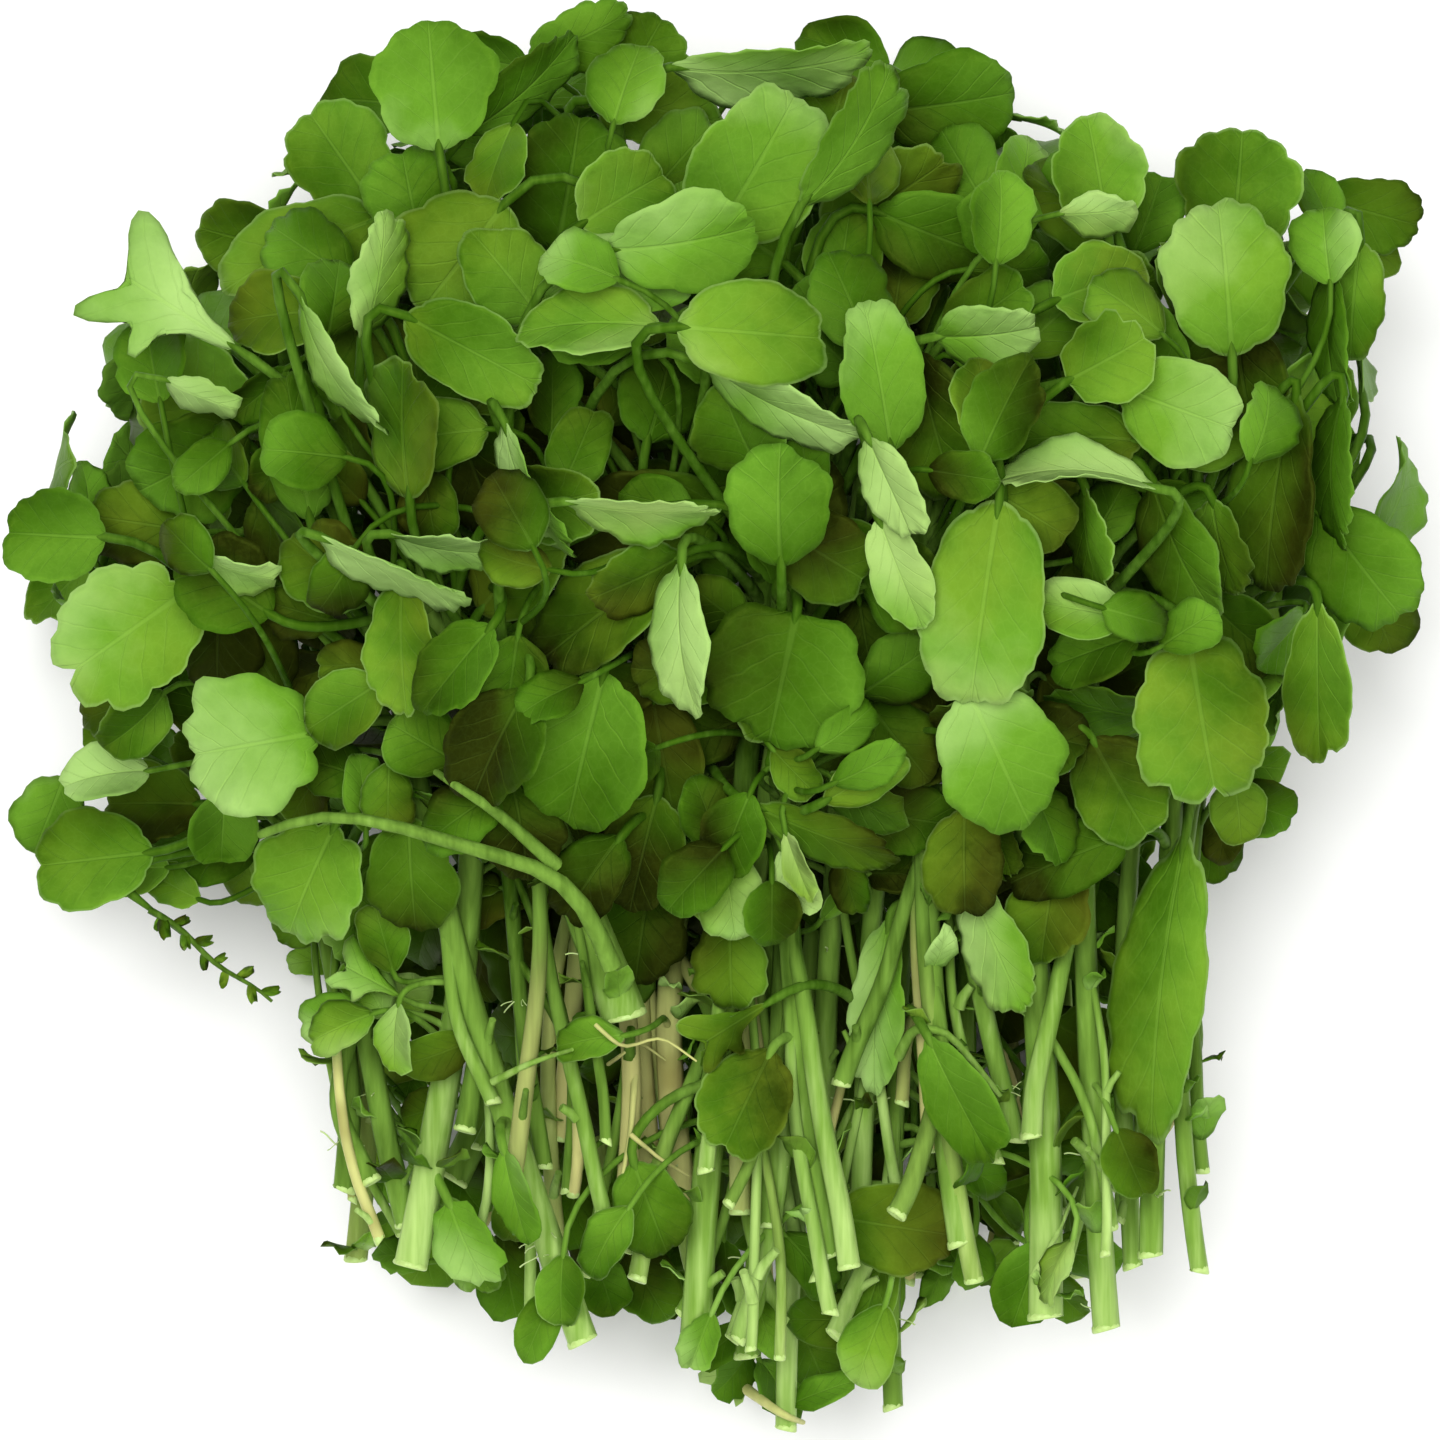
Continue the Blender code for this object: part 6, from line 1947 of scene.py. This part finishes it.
def colour_leaves(stems, random):
    """How light each leaf is: darker, as painted shade, in the depth of the bunch and in its dark places seen
    from above, and more alike where the head lies open to the light."""
    for leaf in [leaf for stem in stems for leaf in stem.leaves + stem.scraps]:
        x, y, height = leaf.centre
        inward = from_edge(x, y)
        if leaf.flat:
            leaf.tone = RESTING_TONE
        elif leaf.tone is None:
            # Painted shade: a leaf is darker the deeper it lies below the crown or the further in from the
            # edge
            buried = min(crown_height(x, y) - height, LIGHT_IN * inward)
            leaf.tone = CROWN_TONE - DARKER * max(0.0, buried)
        # Less of that painted shade is kept where the head lies open to the light
        leaf.tone += (HEAD_TONE - leaf.tone) * HEAD_EVENING * min(1.0, max(0.0, (y - HEAD_FROM) / HEAD_RUN))
        for u, v, own in OWN_TONES:
            if math.hypot(x - u, y - v) < OWN_NEAR:
                leaf.tone = own
        least = LEAST_AT_FEET if y < NEAR_FEET else LEAST_TONE
        leaf.tone = min(1.0, max(least, leaf.tone + random.uniform(-TONE_SHAKE, TONE_SHAKE)))
        # Painted shade: leaves in the bunch's dark places are darkened, less so near its edge
        if leaf.tone < PAINTED_SHADE_BELOW and not leaf.flat:
            shade = max(math.exp(-(((x - u) ** 2 + (y - v) ** 2) / reach**2)) for u, v, reach in PAINTED_SHADE_SPOTS)
            leaf.tone *= 1 - PAINTED_SHADE_DEPTH * shade * min(1.0, inward / PAINTED_SHADE_INSIDE)
        leaf.warmth = random.uniform(0.0, OLDEST)
        leaf.wobble = [random.uniform(0.0, ONE_TURN) for _ in range(3)]


class WATERCRESS_OT_leafy_stems(bpy.types.Operator):
    """Grow every stem with its stalks and leaves"""

    bl_idname = "watercress.leafy_stems"
    bl_label = "Leafy stems"

    def execute(self, context):
        sizes = context.scene.watercress_sizes
        colours = context.scene.watercress_colours
        stems, spots, thicket, random = grow_bunch()
        edge = np.vstack([leaf.outline() for stem in stems for leaf in stem.leaves])
        Bunch.shift = np.array([CAD_HIGH.x / MM - edge[:, 0].max(), CAD_HIGH.y / MM - edge[:, 1].max(), 0.0])
        extra_growth(stems, spots, thicket, random)
        colour_leaves(stems, random)
        tree = sprig_tree()
        values = {
            "Sides": sizes.stem_sides,
            "Ridge depth": sizes.ridge_depth,
            "Blade": blade_material(colours),
            "Stem": stem_material(colours),
            "Cut face": plain_flesh("cress_cut_face", colours.cut, colours.stem_pale, 1600.0),
        }
        for number, stem in enumerate(stems, 1):
            lump = Lump()
            drawn = random.uniform(*STEM_PALENESS), random.uniform(*STEM_YELLOWING)
            look = STEM_LOOKS.get(number, drawn)
            fine_stem(lump, stem, thicket, *look, random)
            for shoot in stem.shoots:
                own = random.uniform(*SHOOT_PALENESS), random.uniform(*SHOOT_YELLOWING)
                fine_stem(lump, shoot, thicket, *own, random, SHOOT_RINGS, look)
            for leaf in stem.scraps:
                fine_blade(lump, leaf, BUD_SPOKES, BUD_RINGS)
            for owner, *bit in LOOSE_BITS:
                if owner == number:
                    loose_bit(lump, thicket, *bit)
            for leaf in stem.leaves:
                if leaf.kind is KINDS["twig"]:
                    raceme(lump, leaf, random)
                elif leaf.length < SMALL_LEAF:
                    fine_blade(lump, leaf, sizes.blade_spokes // 2, sizes.blade_rings - 2)
                else:
                    fine_blade(lump, leaf, sizes.blade_spokes, sizes.blade_rings)
                fine_stalk(lump, leaf, look)
            node = f"leafy_stem_{number:02d}"
            sprig = grown(lump.to_object(f"sprig_{number:02d}", Bunch.shift), tree, values)
            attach(sprig, "root")
            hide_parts(node)
        Bunch.stems, Bunch.thicket = stems, thicket
        return {"FINISHED"}


class WATERCRESS_OT_rootlets(bpy.types.Operator):
    """Set fine pale roots along the lower stems"""

    bl_idname = "watercress.rootlets"
    bl_label = "Side roots"

    def execute(self, context):
        random = Random(SEED)
        points, aims, spans = [], [], []
        for stem in Bunch.stems:
            for _ in range(random.choice(ROOT_JOINTS)):
                joint = random.uniform(*ROOT_SHARES)
                for _ in range(random.randint(*ROOTS_AT_JOINT)):
                    share = joint + random.uniform(-ROOT_SPREAD, ROOT_SPREAD)
                    point, along, radius = stem.on_tube(min(ROOT_ENDS[1], max(ROOT_ENDS[0], share)))
                    out = around(along, random.uniform(0, 2 * math.pi))
                    span = random.uniform(*ROOT_SPANS)
                    tip = point + out * (radius + span)
                    if tip[2] < ROOT_LOWEST or covered(Bunch.thicket, point, radius, tip):
                        continue
                    points.append(point + out * radius * 0.9 + Bunch.shift)
                    aims.append(unit(out + along * random.uniform(-ROOT_LEAN, ROOT_LEAN)))
                    spans.append(span)
        data = bpy.data.meshes.new("side_roots")
        data.from_pydata((np.array(points) * MM).tolist(), [], [])
        write(data, "aim", "FLOAT_VECTOR", "vector", aims)
        write(data, "span", "FLOAT", "value", np.array(spans) * MM)
        colours = context.scene.watercress_colours
        material = plain_flesh("cress_side_root", colours.root, colours.stem_pale, 900.0)
        roots = grown(placed("side_roots", data), rootlet_tree(), {"Material": material})
        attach(roots, "root")
        return {"FINISHED"}


class WATERCRESS_OT_stage(bpy.types.Operator):
    """Lay the pale surface and set the lights and the camera"""

    bl_idname = "watercress.stage"
    bl_label = "Stage"

    def execute(self, context):
        stage = context.scene.watercress_stage
        data = bpy.data.meshes.new("studio_floor")
        corners = [(x * FLOOR_HALF, y * FLOOR_HALF, FLOOR) for x, y in ((-1, -1), (1, -1), (1, 1), (-1, 1))]
        data.from_pydata(corners, [], [(0, 1, 2, 3)])
        data.materials.append(floor_material(stage.floor))
        placed("studio_floor", data)
        for name, place, size, share in LIGHTS:
            light = bpy.data.lights.new(name, "AREA")
            light.shape, light.size, light.energy = "DISK", size, stage.light_power * share
            lamp = placed(name, light)
            lamp.location = place
            lamp.rotation_euler = (Vector(LIGHTS_AIM) - Vector(place)).to_track_quat("-Z", "Y").to_euler()
            lamp.visible_camera = False
        world = bpy.data.worlds.new("studio")
        world.use_nodes = True
        sky = world.node_tree.nodes["Background"].inputs
        sky["Color"].default_value = SKY
        sky["Strength"].default_value = stage.fill_light
        context.scene.world = world
        camera = bpy.data.cameras.new("camera")
        camera.sensor_width = SENSOR
        above = stage.camera_height - HEAD_CENTRE[2] * MM
        camera.lens = camera.sensor_width * above / stage.frame_width
        camera.clip_start, camera.clip_end = 0.05, 50.0
        eye = placed("camera", camera)
        eye.location = (0.0, 0.0, stage.camera_height)
        context.scene.camera = eye
        context.scene.view_settings.view_transform = "Standard"
        return {"FINISHED"}


class WATERCRESS_PT_bunch(bpy.types.Panel):
    """Lists what the bunch is made of"""

    bl_label = "Watercress bunch"
    bl_idname = "WATERCRESS_PT_bunch"
    bl_space_type = "VIEW_3D"
    bl_region_type = "UI"
    bl_category = "Watercress"

    def draw(self, context):
        for operator in OPERATORS:
            self.layout.operator(operator.bl_idname)
        for group in ("watercress_sizes", "watercress_colours", "watercress_stage"):
            values = getattr(context.scene, group)
            for name in values.bl_rna.properties.keys():
                if name not in ("rna_type", "name"):
                    self.layout.prop(values, name)


OPERATORS = (WATERCRESS_OT_leafy_stems, WATERCRESS_OT_rootlets, WATERCRESS_OT_stage)
GROUP_CLASSES = {
    "watercress_sizes": WatercressSizes,
    "watercress_colours": WatercressColours,
    "watercress_stage": WatercressStage,
}
CLASSES = (*GROUP_CLASSES.values(), *OPERATORS, WATERCRESS_PT_bunch)


def register():
    for made in CLASSES:
        bpy.utils.register_class(made)
    for name, group in GROUP_CLASSES.items():
        setattr(bpy.types.Scene, name, PointerProperty(type=group))


def unregister():
    for name in GROUP_CLASSES:
        delattr(bpy.types.Scene, name)
    for made in reversed(CLASSES):
        bpy.utils.unregister_class(made)


def main():
    register()
    bpy.ops.watercress.leafy_stems()
    bpy.ops.watercress.rootlets()
    bpy.ops.watercress.stage()


if __name__ == "__main__":
    main()
